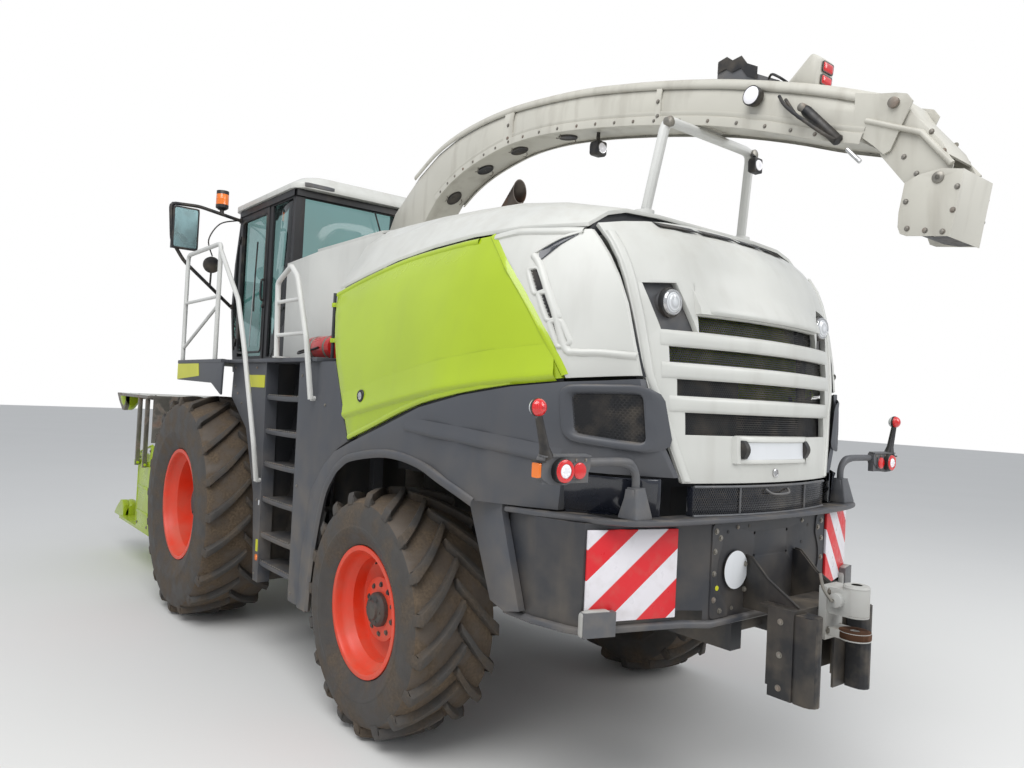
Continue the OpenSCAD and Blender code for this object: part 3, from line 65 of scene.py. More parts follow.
def make_camera():
    """The camera, turned by yaw, pitch and roll."""
    look = Vector((math.cos(CAMERA_PITCH) * math.cos(CAMERA_YAW),
                   math.cos(CAMERA_PITCH) * math.sin(CAMERA_YAW), math.sin(CAMERA_PITCH)))
    level = look.cross(UP).normalized()
    rise = level.cross(look)
    right = level * math.cos(CAMERA_ROLL) + rise * math.sin(CAMERA_ROLL)
    up = rise * math.cos(CAMERA_ROLL) - level * math.sin(CAMERA_ROLL)
    data = bpy.data.cameras.new("camera")
    data.sensor_width = SENSOR_MM
    data.lens = CAMERA_FOCAL_PX / IMAGE_WIDTH_PX * SENSOR_MM
    data.clip_end = 200
    camera = bpy.data.objects.new("camera", data)
    camera.matrix_world = Matrix((
        (right.x, up.x, -look.x, CAMERA_PLACE.x),
        (right.y, up.y, -look.y, CAMERA_PLACE.y),
        (right.z, up.z, -look.z, CAMERA_PLACE.z),
        (0, 0, 0, 1)))
    bpy.context.scene.collection.objects.link(camera)
    bpy.context.scene.camera = camera


make_camera()


# Finishes
def srgb(red, green, blue):
    """A colour given in screen values from 0 to 255, as linear light."""
    def linear(v):
        v /= 255
        return v / 12.92 if v <= 0.04045 else ((v + 0.055) / 1.055) ** 2.4
    return linear(red), linear(green), linear(blue), 1.0


def shade(colour, factor):
    """The same colour, darker or lighter."""
    return tuple(min(1.0, c * factor) for c in colour[:3]) + (1.0,)


class Finish:
    """A material's node tree, with short ways to add nodes and join them."""

    def __init__(self, name, colour, roughness, metallic=0.0):
        self.material = bpy.data.materials.new(name)
        self.material.use_nodes = True
        self.tree = self.material.node_tree
        self.surface = self.tree.nodes["Principled BSDF"]
        self.surface.inputs["Base Color"].default_value = colour
        self.surface.inputs["Roughness"].default_value = roughness
        self.surface.inputs["Metallic"].default_value = metallic
        self.place = self.tree.nodes.new("ShaderNodeTexCoord").outputs["Object"]

    def feed(self, socket, value):
        """Joins an output to a socket, or sets a plain value on it."""
        if isinstance(value, bpy.types.NodeSocket):
            self.tree.links.new(value, socket)
        else:
            socket.default_value = value

    def set(self, name, value):
        """Feeds one of the surface's own inputs."""
        self.feed(self.surface.inputs[name], value)
        return self

    def noise(self, scale, detail, stretch=(1, 1, 1)):
        """Noise from 0 to 1, its pattern about 1 / scale metres wide."""
        node = self.tree.nodes.new("ShaderNodeTexNoise")
        node.inputs["Scale"].default_value = scale
        node.inputs["Detail"].default_value = detail
        place = self.place
        if stretch != (1, 1, 1):
            mapping = self.tree.nodes.new("ShaderNodeMapping")
            mapping.inputs["Scale"].default_value = stretch
            self.tree.links.new(self.place, mapping.inputs["Vector"])
            place = mapping.outputs["Vector"]
        self.tree.links.new(place, node.inputs["Vector"])
        return node.outputs["Fac"]

    def band(self, value, low, high, to_low=0.0, to_high=1.0):
        """value from low to high, as a share from to_low to to_high."""
        node = self.tree.nodes.new("ShaderNodeMapRange")
        node.inputs["From Min"].default_value = low
        node.inputs["From Max"].default_value = high
        node.inputs["To Min"].default_value = to_low
        node.inputs["To Max"].default_value = to_high
        self.feed(node.inputs["Value"], value)
        return node.outputs["Result"]

    def maths(self, operation, a, b=0.0):
        """A sum, product or other operation on one or two values."""
        node = self.tree.nodes.new("ShaderNodeMath")
        node.operation = operation
        self.feed(node.inputs[0], a)
        self.feed(node.inputs[1], b)
        return node.outputs[0]

    def mix(self, share, a, b):
        """Colour a where share is 0 and b where it is 1."""
        node = self.tree.nodes.new("ShaderNodeMix")
        node.data_type = "RGBA"
        self.feed(node.inputs["Factor"], share)
        self.feed(node.inputs["A"], a)
        self.feed(node.inputs["B"], b)
        return node.outputs["Result"]

    def height(self):
        """Height above the ground."""
        node = self.tree.nodes.new("ShaderNodeSeparateXYZ")
        self.tree.links.new(self.place, node.inputs[0])
        return node.outputs["Z"]

    def facing_up(self):
        """1 on faces that look up, 0 on walls."""
        geometry = self.tree.nodes.new("ShaderNodeNewGeometry")
        node = self.tree.nodes.new("ShaderNodeSeparateXYZ")
        self.tree.links.new(geometry.outputs["Normal"], node.inputs[0])
        return self.band(node.outputs["Z"], 0.3, 0.9)

    def bump(self, height, distance, strength):
        """Relief of that height in metres."""
        node = self.tree.nodes.new("ShaderNodeBump")
        node.inputs["Distance"].default_value = distance
        node.inputs["Strength"].default_value = strength
        self.tree.links.new(height, node.inputs["Height"])
        self.tree.links.new(node.outputs["Normal"], self.surface.inputs["Normal"])
        return self


DUST = srgb(150, 136, 116)
MUD = srgb(96, 82, 66)


def painted(name, colour, roughness, dust, dust_top, grime, coat=0.0):
    """Paint with slight tone changes, settled dust low down and on top, and fine relief."""
    f = Finish(name, colour, roughness)
    tone = f.mix(f.band(f.noise(1.7, 3), 0.3, 0.7), shade(colour, 0.93), shade(colour, 1.05))
    streaks = f.band(f.noise(2.6, 8, (3.0, 3.0, 0.5)), 0.52, 0.78, 0.0, grime)
    tone = f.mix(streaks, tone, shade(DUST, 0.55))
    low = f.band(f.height(), dust_top, 0.35)
    patch = f.band(f.noise(5.0, 9), 0.38, 0.68)
    share = f.maths("MULTIPLY", f.maths("MULTIPLY", low, patch), dust)
    top = f.maths("MULTIPLY", f.facing_up(), f.band(f.noise(9.0, 6), 0.4, 0.7, 0.0, dust * 0.7))
    share = f.maths("MAXIMUM", share, top)
    f.set("Base Color", f.mix(share, tone, DUST))
    f.set("Roughness", f.band(share, 0.0, 0.6, roughness, 0.85))
    f.surface.inputs["Coat Weight"].default_value = coat
    f.bump(f.noise(260.0, 2), 0.0004, 0.25)
    return f.material


def bare_metal(name, colour, roughness, rust):
    """Worn metal with patches of rust and dirt."""
    f = Finish(name, colour, roughness, 0.85)
    patch = f.band(f.noise(7.0, 9), 0.5, 0.68, 0.0, rust)
    brown = f.mix(f.band(f.noise(30.0, 5), 0.35, 0.65), srgb(98, 62, 38), srgb(140, 92, 58))
    f.set("Base Color", f.mix(patch, f.mix(f.noise(22.0, 3), shade(colour, 0.8), shade(colour, 1.1)), brown))
    f.set("Metallic", f.band(patch, 0.0, 0.5, 0.85, 0.1))
    f.set("Roughness", f.band(patch, 0.0, 0.5, roughness, 0.9))
    f.bump(f.noise(90.0, 6), 0.0012, 0.5)
    return f.material


def rubber(name, colour, mud):
    """Tyre rubber with dried mud in patches."""
    f = Finish(name, colour, 0.75)
    patch = f.band(f.noise(6.0, 9), 0.42, 0.62, 0.0, mud)
    grit = f.mix(f.band(f.noise(60.0, 4), 0.35, 0.65), shade(MUD, 0.8), shade(MUD, 1.25))
    base = f.mix(f.noise(14.0, 5), shade(colour, 0.8), shade(colour, 1.3))
    f.set("Base Color", f.mix(patch, base, grit))
    f.set("Roughness", f.band(patch, 0.0, 0.5, 0.62, 0.95))
    f.bump(f.noise(120.0, 6), 0.0025, 0.55)
    return f.material


def moulded(name, colour, roughness, dust):
    """Plastic with a fine moulded grain and a little dust."""
    f = Finish(name, colour, roughness)
    patch = f.band(f.noise(8.0, 7), 0.45, 0.75, 0.0, dust)
    f.set("Base Color", f.mix(patch, f.mix(f.noise(4.0, 2), shade(colour, 0.9), shade(colour, 1.1)), DUST))
    f.set("Roughness", f.band(f.noise(40.0, 3), 0.3, 0.7, roughness * 0.85, min(1.0, roughness * 1.2)))
    f.bump(f.noise(700.0, 2), 0.0003, 0.4)
    return f.material


def cab_glass(name, colour):
    """Tinted glass with faint dust."""
    f = Finish(name, colour, 0.03)
    f.surface.inputs["Transmission Weight"].default_value = 1.0
    f.surface.inputs["IOR"].default_value = 1.45
    f.set("Roughness", f.band(f.noise(3.0, 6), 0.45, 0.8, 0.02, 0.16))
    f.set("Base Color", f.mix(f.band(f.noise(2.0, 7), 0.5, 0.8, 0.0, 0.12), colour, DUST))
    return f.material


def lens(name, colour, glow=0.0):
    """Lamp glass over fine flutes."""
    f = Finish(name, colour, 0.12)
    f.surface.inputs["Coat Weight"].default_value = 1.0
    f.surface.inputs["Emission Color"].default_value = colour
    f.surface.inputs["Emission Strength"].default_value = glow
    wave = f.tree.nodes.new("ShaderNodeTexWave")
    wave.inputs["Scale"].default_value = 60.0
    f.tree.links.new(f.place, wave.inputs["Vector"])
    f.set("Base Color", f.mix(wave.outputs["Fac"], shade(colour, 0.75), shade(colour, 1.1)))
    f.bump(wave.outputs["Fac"], 0.001, 0.5)
    return f.material


def cloth(name, colour):
    """Woven seat cloth."""
    f = Finish(name, colour, 0.9)
    weave = f.noise(450.0, 1, (1.0, 0.3, 1.0))
    f.set("Base Color", f.mix(weave, shade(colour, 0.7), shade(colour, 1.3)))
    f.surface.inputs["Sheen Weight"].default_value = 0.3
    f.bump(weave, 0.0008, 0.7)
    return f.material


def warning_stripes(name, red, white, pitch, slant):
    """Red and white stripes that rise outwards, mirrored on the two sides, with a worn reflective sheen."""
    f = Finish(name, red, 0.35)
    split = f.tree.nodes.new("ShaderNodeSeparateXYZ")
    f.tree.links.new(f.place, split.inputs[0])
    along = f.maths("MULTIPLY", f.maths("ABSOLUTE", split.outputs["Y"]), slant)
    way = f.maths("DIVIDE", f.maths("SUBTRACT", split.outputs["Z"], along), pitch)
    stripe = f.band(f.maths("FRACT", way), 0.49, 0.51)
    wear = f.band(f.noise(14.0, 7), 0.5, 0.75, 0.0, 0.18)
    f.set("Base Color", f.mix(wear, f.mix(stripe, red, white), DUST))
    f.set("Roughness", f.band(f.noise(20.0, 4), 0.3, 0.7, 0.25, 0.5))
    f.bump(f.noise(900.0, 1), 0.0002, 0.3)
    return f.material


ANTHRACITE = painted("anthracite", srgb(74, 76, 81), 0.42, 0.5, 2.0, 0.1)
TAIL_GREY = painted("tail_grey", srgb(50, 52, 57), 0.45, 0.5, 1.7, 0.15)
DARK_STEEL = painted("dark_steel", srgb(46, 47, 50), 0.5, 0.55, 1.6, 0.2)
OFFWHITE = painted("offwhite", srgb(206, 206, 200), 0.34, 0.25, 1.9, 0.12)
SPOUT_WHITE = painted("spout_white", srgb(196, 193, 182), 0.42, 0.35, 1.9, 0.35)
LIME = painted("lime", srgb(170, 194, 30), 0.26, 0.2, 1.9, 0.05, 0.3)
RIM_RED = painted("rim_red", srgb(232, 66, 36), 0.36, 0.3, 2.2, 0.15)
RAIL_WHITE = painted("rail_white", srgb(212, 212, 208), 0.35, 0.25, 2.2, 0.15)
BLACK_PAINT = painted("black_paint", srgb(30, 30, 32), 0.45, 0.45, 1.7, 0.2)
EXTINGUISHER_RED = painted("extinguisher_red", srgb(190, 30, 28), 0.25, 0.15, 1.0, 0.05, 0.4)
STEEL = bare_metal("worn_steel", srgb(150, 146, 138), 0.45, 0.55)
CAST = painted("coupling_grey", srgb(176, 176, 172), 0.5, 0.5, 1.6, 0.3)
EXHAUST = bare_metal("exhaust_steel", srgb(108, 100, 94), 0.5, 0.5)
TYRE = rubber("tyre_rubber", srgb(66, 63, 60), 0.55)
TREAD_MUD = rubber("tread_mud", srgb(84, 74, 64), 1.0)
BLACK_PLASTIC = moulded("black_plastic", srgb(28, 28, 30), 0.45, 0.25)
GREY_PLASTIC = moulded("grey_plastic", srgb(92, 93, 96), 0.5, 0.25)
GLASS = cab_glass("cab_glass", srgb(150, 190, 184))
LAMP_GLASS = lens("lamp_glass", srgb(220, 222, 224))
# The red and amber lenses glow faintly: on the lamps that is their own light, on the reflectors that use them
# it is painted light.
RED_LENS = lens("red_lens", srgb(214, 22, 24), 0.12)
WHITE_LED = lens("white_led", srgb(238, 236, 240), 0.25)
AMBER_LENS = lens("amber_lens", srgb(240, 120, 12), 0.12)
MIRROR = bare_metal("mirror_face", srgb(96, 118, 120), 0.22, 0.05)
CHROME = bare_metal("bright_ring", srgb(206, 206, 206), 0.18, 0.05)
SHINY_DARK = painted("shiny_dark", srgb(30, 34, 44), 0.16, 0.12, 1.9, 0.05, 0.5)
PLATE_WHITE = painted("plate_white", srgb(222, 224, 226), 0.35, 0.15, 1.5, 0.08)
YELLOW = painted("yellow_paint", srgb(206, 206, 40), 0.35, 0.25, 1.9, 0.15)
HOSE = moulded("hose_rubber", srgb(34, 34, 36), 0.55, 0.35)
RUSTY = bare_metal("rusty_sheet", srgb(92, 66, 50), 0.8, 0.9)
SEAT_CLOTH = cloth("seat_cloth", srgb(40, 40, 44))
WARNING = warning_stripes("warning_foil", srgb(222, 36, 44), srgb(232, 228, 232), 0.29, -0.9)

NODE_FINISH = {
    ANTHRACITE: ["ladder_box", "rear_fenders", "deck"],
    TAIL_GREY: ["tail_frame", "body_frame"],
    DARK_STEEL: ["chassis_frame", "front_axle", "rear_axle", "intake_housing", "knuckle_left",
                 "knuckle_right", "engine_block"],
    BLACK_PAINT: ["cab_shell", "cab_door", "hitch_frame"],
    OFFWHITE: ["cab_roof", "wedge_panels", "hood_roof", "rear_side_panels", "rear_cowl"],
    SPOUT_WHITE: ["spout_turret", "spout_arm", "spout_middle", "spout_end", "upper_flap", "lower_flap"],
    LIME: ["green_door_left", "green_door_right", "header_frame"],
    RIM_RED: ["rim_front_left", "rim_front_right", "rim_rear_left", "rim_rear_right"],
    RAIL_WHITE: ["hand_rails", "spout_rest"],
    EXTINGUISHER_RED: ["extinguisher"],
    STEEL: ["turret_base", "drum_left", "drum_right", "wing_left", "wing_right", "wing_drum_left",
            "wing_drum_right"],
    CAST: ["tow_coupling"],
    EXHAUST: ["exhaust_stack"],
    TYRE: ["tyre_front_left", "tyre_front_right", "tyre_rear_left", "tyre_rear_right"],
    BLACK_PLASTIC: ["mirrors", "spout_lamps"],
    SHINY_DARK: ["mesh_band"],
    GREY_PLASTIC: ["rear_lights", "cowl_lamps"],
    GLASS: ["cab_windows", "door_window"],
    SEAT_CLOTH: ["driver_seat"],
    WARNING: ["warning_panels"],
}


def soften(piece, width, angle):
    """Rounds the edges that are sharper than an angle."""
    edge = piece.modifiers.new("soft_edges", "BEVEL")
    edge.width = width
    edge.segments = 2
    edge.limit_method = "ANGLE"
    edge.angle_limit = math.radians(angle)


def split_edges(piece, angle):
    """Shades the faces apart where they meet at more than an angle."""
    piece.modifiers.new("sharp_edges", "EDGE_SPLIT").split_angle = math.radians(angle)


def dress_nodes():
    """Each carried-over node gets its finish and small rounded edges."""
    for finish, names in NODE_FINISH.items():
        for name in names:
            node = NODES[name]
            node.data.materials.clear()
            node.data.materials.append(finish)
            node.data.polygons.foreach_set("use_smooth", [True] * len(node.data.polygons))
            node.modifiers.new("welded", "WELD").merge_threshold = 0.0002
            soften(node, 0.004, 35)
            split_edges(node, 24)


dress_nodes()


# Meshes
class Shape:
    """One piece under construction: its mesh, the body that it rides on, and the materials of its faces."""

    def __init__(self, name, body, *materials):
        self.name = name
        self.body = body
        self.materials = materials
        self.bm = bmesh.new()
        self.slot = 0
        self.rows = []

    def use(self, material):
        """Faces made from here on get this material."""
        self.slot = self.materials.index(material)
        return self

    def face(self, corners):
        """One face between corners already made."""
        face = self.bm.faces.new(corners)
        face.material_index = self.slot
        face.smooth = True
        return face

    def grid(self, rows, closed=False, caps=False):
        """Faces between rows of places; a closed row joins its last place to its first."""
        made = [[self.bm.verts.new(place) for place in row] for row in rows]
        for low, high in zip(made, made[1:]):
            count = len(low)
            for i in range(count if closed else count - 1):
                j = (i + 1) % count
                self.face((low[i], low[j], high[j], high[i]))
        if caps:
            self.face(made[0][::-1])
            self.face(made[-1])

    def solid(self, rows):
        """A closed form through rings of places."""
        self.grid(rows, closed=True, caps=True)

    def row(self, places):
        """Keeps one row of places for the next sheet."""
        self.rows.append(list(places))

    def sheet(self, closed=False, caps=False):
        """Faces between the rows kept so far."""
        self.grid(self.rows, closed, caps)
        self.rows = []
        return self

    def prism(self, outline, shift):
        """An outline of places, pushed along a shift into a closed solid."""
        self.solid([outline, [p + Vector(shift) for p in outline]])

    def block(self, low, high):
        """A box between two corners."""
        x0, y0, z0 = low
        x1, y1, z1 = high
        self.prism([Vector((x, y, z0)) for x, y in ((x0, y0), (x1, y0), (x1, y1), (x0, y1))], (0, 0, z1 - z0))

    def turned(self, place, axis, profile, sides=32, caps=False):
        """A form turned about an axis through a place: profile of (radius, distance along the axis)."""
        axis = Vector(axis).normalized()
        one = axis.orthogonal().normalized()
        two = axis.cross(one)
        self.grid([[place + axis * along + (one * math.cos(a) + two * math.sin(a)) * radius
                    for a in turns(sides)] for radius, along in profile], closed=True, caps=caps)

    def rod(self, start, end, radius, sides=12):
        """A round bar between two places."""
        way = end - start
        self.turned(start, way, [(radius, 0), (radius, way.length)], sides, True)

    def tube(self, path, radius, sides=10):
        """A round tube along a path of places."""
        side = None
        for i, place in enumerate(path):
            way = (path[min(i + 1, len(path) - 1)] - path[max(i - 1, 0)]).normalized()
            side = (way.orthogonal() if side is None else side - way * side.dot(way)).normalized()
            up = way.cross(side)
            self.row(place + (side * math.cos(a) + up * math.sin(a)) * radius for a in turns(sides))
        self.sheet(closed=True, caps=True)

    def hose(self, points, radius, steps=6):
        """A hose through points given from the front axle."""
        self.tube(curve([at(*p) for p in points], steps), radius, 8)

    def bolt(self, place, axis, radius):
        """A hexagon bolt head with a washer under it."""
        height = radius * 0.8
        self.turned(place, axis, [(radius * 1.45, 0), (radius * 1.45, height * 0.2)], 16, True)
        self.turned(place, axis,
                    [(radius, height * 0.2), (radius, height * 0.9), (radius * 0.8, height)], 6, True)

    def bolts(self, places, axis, radius):
        """A bolt head at each place."""
        for place in places:
            self.bolt(place, axis, radius)

    def net(self, place, width, height, cell, wire):
        """A sheet of six-sided holes over a surface: place(u, v) gives its places in metres."""
        outer = cell / math.sqrt(3)
        inner = outer - wire / 2
        step = cell * math.sqrt(3) / 2
        corners = [(math.sin(k * math.pi / 3), math.cos(k * math.pi / 3)) for k in range(6)]
        for row in range(int(height / step) + 1):
            for column in range(int(width / cell) + 1):
                u = (column + 0.5 * (row % 2)) * cell
                v = row * step
                if u > width:
                    continue
                rim = [self.bm.verts.new(place(u + a * outer, v + b * outer)) for a, b in corners]
                hole = [self.bm.verts.new(place(u + a * inner, v + b * inner)) for a, b in corners]
                for k in range(6):
                    m = (k + 1) % 6
                    self.face((rim[k], rim[m], hole[m], hole[k]))

    def mirror(self):
        """Repeats all that was made so far on the machine's other side."""
        everything = self.bm.verts[:] + self.bm.edges[:] + self.bm.faces[:]
        made = bmesh.ops.duplicate(self.bm, geom=everything)["geom"]
        for vert in made:
            if isinstance(vert, bmesh.types.BMVert):
                vert.co.y = -vert.co.y
        return self

    def moved_to(self, side):
        """Puts all that was made so far on the machine's left, 1, or right, -1."""
        for vert in self.bm.verts:
            vert.co.y *= side
        return self

    def done(self, soft=0.0, angle=35):
        """Puts the piece in the scene, with rounded edges of that width."""
        bmesh.ops.recalc_face_normals(self.bm, faces=self.bm.faces)
        mesh = bpy.data.meshes.new(self.name)
        self.bm.to_mesh(mesh)
        self.bm.free()
        for material in self.materials:
            mesh.materials.append(material)
        piece = bpy.data.objects.new(self.name, mesh)
        bpy.context.scene.collection.objects.link(piece)
        if soft:
            soften(piece, soft, angle)
        split_edges(piece, angle)
        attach(piece, self.body)
        return piece


def span(first, last, count):
    """Evenly spaced values from the first to the last, in that many steps."""
    return [first + (last - first) * i / count for i in range(count + 1)]


def turns(count):
    """The angles of a full turn in equal steps."""
    return [2 * math.pi * k / count for k in range(count)]


def between(table, value):
    """The value looked up in a table of pairs in rising order."""
    if value <= table[0][0]:
        return table[0][1]
    for (a, fa), (b, fb) in zip(table, table[1:]):
        if value <= b:
            return fa + (fb - fa) * (value - a) / (b - a)
    return table[-1][1]


def curve(points, steps):
    """A smooth path through points, with some steps between each two."""
    points = [Vector(p) for p in points]
    path = []
    for i in range(len(points) - 1):
        a, b, c, d = (points[max(i - 1, 0)], points[i], points[i + 1], points[min(i + 2, len(points) - 1)])
        for k in range(steps):
            t = k / steps
            path.append(0.5 * (2 * b + (c - a) * t + (2 * a - 5 * b + 4 * c - d) * t * t
                               + (3 * b - a - 3 * c + d) * t * t * t))
    return path + [points[-1]]


# The body's side: half width by length and height
BODY_HALF_W = 1.4
BODY_LEAN = 0.18
LEAN_START_Z = 2.2
LEAN_RISE = 0.8
NARROWING = [(-5.03, 0.78), (-5.0, 0.7), (-4.96, 0.55), (-4.86, 0.425), (-4.7, 0.29), (-4.5, 0.17),
             (-4.25, 0.06), (-3.9, 0.0)]


def skin(x, z):
    """The body's half width at a length and height."""
    lean = 0.0 if z < LEAN_START_Z else BODY_LEAN * ((z - LEAN_START_Z) / LEAN_RISE) ** 2
    return BODY_HALF_W - between(NARROWING, x) - lean


def on_side(x, z, proud=0.0):
    """A place on the body's left side, so far proud of it."""
    return at(x, skin(x, z) + proud, z)


def side_strip(shape, path, section):
    """A moulding along a path of (length, height) on the body's side: section of (across it, proud)."""
    for i, (x, z) in enumerate(path):
        way = (path[min(i + 1, len(path) - 1)] - path[max(i - 1, 0)]).normalized()
        shape.row(on_side(x - way.y * off, z + way.x * off, proud) for off, proud in section)
    shape.sheet()


# The rear cowl: its length by height, and its bow across
COWL_LINE = [(1.72, -5.105), (2.035, -5.085), (2.3, -5.07), (2.55, -5.04), (2.75, -5.000), (2.87, -4.955),
             (2.98, -4.88), (3.06, -4.79), (3.11, -4.7), (3.14, -4.625)]
COWL_BOW = 0.22


def on_cowl(y, z, proud=0.0):
    """A place on the rear cowl."""
    return at(between(COWL_LINE, z) + COWL_BOW * y * y - proud, y, z)


# Wheels: centre from the front axle, tyre radius and width, rim lip radius and width, lug pairs
WHEELS = {
    "front_left": ((0.0, 1.325, 1.0), 1.0, 0.71, 0.5, 0.59, 20, "wheel_front_left"),
    "front_right": ((0.0, -1.325, 1.0), 1.0, 0.71, 0.5, 0.59, 20, "wheel_front_right"),
    "rear_left": ((-3.19, 1.17, 0.755), 0.755, 0.6, 0.4, 0.49, 19, "wheel_rear_left"),
    "rear_right": ((-3.19, -1.17, 0.755), 0.755, 0.6, 0.4, 0.49, 19, "wheel_rear_right"),
}
LUG_H = 0.045
LUG_SWEEP = 0.31
LUG_STEPS = 9
LUG_BEND = 0.06
CROWN = 0.022


def carcass(radius, width, rim_r, rim_w):
    """Half section of a tyre from its bead out to the middle of the tread: (radius, y)."""
    base = radius - LUG_H
    half = width / 2
    wall = radius - rim_r
    return [(rim_r + 0.002, rim_w / 2 - 0.012), (rim_r + 0.018, rim_w / 2 + 0.006),
            (rim_r + 0.035, rim_w / 2 + 0.012), (rim_r + wall * 0.22, half - 0.016),
            (rim_r + wall * 0.3, half - 0.006), (rim_r + wall * 0.33, half - 0.004),
            (rim_r + wall * 0.35, half - 0.008), (rim_r + wall * 0.5, half - 0.006),
            (base - 0.085, half - 0.016), (base - 0.045, half - 0.032), (base - CROWN, half - 0.075),
            (base - CROWN * 0.4, half * 0.5), (base, 0.0)]


def lug_rows(radius, width, start, side):
    """Cross-sections of one lug from the middle of the tread over the shoulder."""
    half = width / 2
    rows = []
    for i in range(LUG_STEPS + 3):
        t = min(i / LUG_STEPS, 1.0)
        over = max(i - LUG_STEPS, 0)
        y = -0.018 + (half - 0.022) * t + (0.0, 0.012, 0.018, 0.016)[over]
        top = radius - CROWN * t * t - (0.0, 0.03, 0.075, 0.118)[over]
        low = min(radius - LUG_H - CROWN * t * t - 0.012, top - 0.006) if not over else top - 0.03
        angle = start - LUG_SWEEP / radius * (t + LUG_BEND * math.sin(math.pi * t))
        half_top = (0.022 + 0.012 * t) / radius
        half_low = half_top + 0.011 / radius
        inward = 0.0 if not over else 0.035
        rows.append([(low, y - inward, angle - half_low), (top, y, angle - half_top),
                     (top, y, angle + half_top), (low, y - inward, angle + half_low)])
    return [[(r, side * y, a) for r, y, a in row] for row in rows]


def make_tyre(name):
    """A tyre with its two rows of lugs, mud on the tread between them."""
    centre, radius, width, rim_r, rim_w, lugs, body = WHEELS[name]
    middle = at(*centre)
    shape = Shape("tyre_tread_" + name, body, TYRE, TREAD_MUD)

    def place(r, y, a):
        return middle + Vector((r * math.sin(a), y, r * math.cos(a)))

    half = carcass(radius, width, rim_r, rim_w)
    section = [(r, y) for r, y in half] + [(r, -y) for r, y in half[-2::-1]]
    sides = 96
    made = [[shape.bm.verts.new(place(r, y, 2 * math.pi * i / sides)) for r, y in section]
            for i in range(sides)]
    for i in range(sides):
        one, two = made[i], made[(i + 1) % sides]
        for j in range(len(section) - 1):
            shape.use(TREAD_MUD if 9 <= j <= len(section) - 11 else TYRE)
            shape.face((one[j], one[j + 1], two[j + 1], two[j]))
    shape.use(TYRE)
    for i in range(lugs):
        for side in (1, -1):
            start = 2 * math.pi * (i + (0.5 if side < 0 else 0.0)) / lugs
            rows = lug_rows(radius, width, start, side)
            shape.grid([[place(*p) for p in row] for row in rows], closed=True, caps=True)
    piece = shape.done(soft=0.004, angle=30)
    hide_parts("tyre_" + name)


# Wheel hubs: disc face y from the wheel's middle, bolt circle radius, count, hub radius and length
HUBS = {"front": (0.06, 0.195, 20, 0.145, 0.07), "rear": (0.09, 0.15, 10, 0.105, 0.06)}


def make_hub(name):
    """Hub with its bolts on a raised ring of the wheel's disc, six bolts on its face and the valve."""
    centre, _, _, rim_r, rim_w, _, body = WHEELS[name]
    side = 1 if centre[1] > 0 else -1
    face_y, circle, count, hub_r, hub_h = HUBS[name.split("_")[0]]
    out = LEFT * side
    middle = at(*centre) + out * (face_y + 0.012)
    shape = Shape("hub_" + name, body, RIM_RED, DARK_STEEL, BLACK_PLASTIC)
    shape.use(RIM_RED)
    shape.turned(middle, out, [(circle + 0.045, 0.0), (circle + 0.045, 0.01), (circle - 0.03, 0.016),
                               (hub_r + 0.004, 0.016)], 48, True)
    shape.use(DARK_STEEL)
    shape.turned(middle, out,
                 [(hub_r, 0.0), (hub_r, hub_h * 0.7), (hub_r - 0.015, hub_h), (0.06, hub_h + 0.004),
                  (0.055, hub_h + 0.02), (0.0, hub_h + 0.022)], 48)
    for a in turns(count):
        shape.bolt(middle + Vector((math.sin(a), 0, math.cos(a))) * circle + out * 0.012, out, 0.014)
    for a in turns(6):
        a += math.pi / 6
        shape.bolt(middle + Vector((math.sin(a), 0, math.cos(a))) * hub_r * 0.72 + out * hub_h, out, 0.009)
    shape.use(BLACK_PLASTIC)
    valve = at(*centre) + Vector((0, side * (rim_w / 2 - 0.13), rim_r - 0.1))
    shape.rod(valve, valve + Vector((0, side * 0.05, -0.012)), 0.006)
    shape.done(soft=0.0015)


for wheel in WHEELS:
    make_tyre(wheel)
    make_hub(wheel)


# Rear cowl: bars, meshes, lamps, plate and lock

# Air slots: middle height, opening and half width
SLOTS = [(2.528, 0.084, 0.55), (2.364, 0.08, 0.73), (2.2, 0.084, 0.69), (2.02, 0.112, 0.645)]
MESH_DEPTH = 0.042
PLATE_LOW, PLATE_TOP, PLATE_HALF_W = 1.838, 1.962, 0.335


def make_cowl_meshes():
    """Perforated dark sheets behind the air slots."""
    shape = Shape("cowl_meshes", "rear_cowl", BLACK_PLASTIC)
    for z, opening, half in SLOTS:
        low = z - opening / 2 - 0.012
        shape.net(lambda u, v: on_cowl(u - half - 0.01, low + v, -MESH_DEPTH), 2 * half + 0.02,
                  opening + 0.024, 0.0135, 0.005)
    shape.done()


def cowl_band(shape, half, section, steps=32):
    """A moulding across the cowl that fades at its ends: section of (height, proud)."""
    rows = []
    for i, y in enumerate(span(-half, half, steps)):
        fade = min(1.0, i / 1.5, (steps - i) / 1.5)
        rows.append([on_cowl(y, z, proud * fade) for z, proud in section])
    shape.grid(rows)


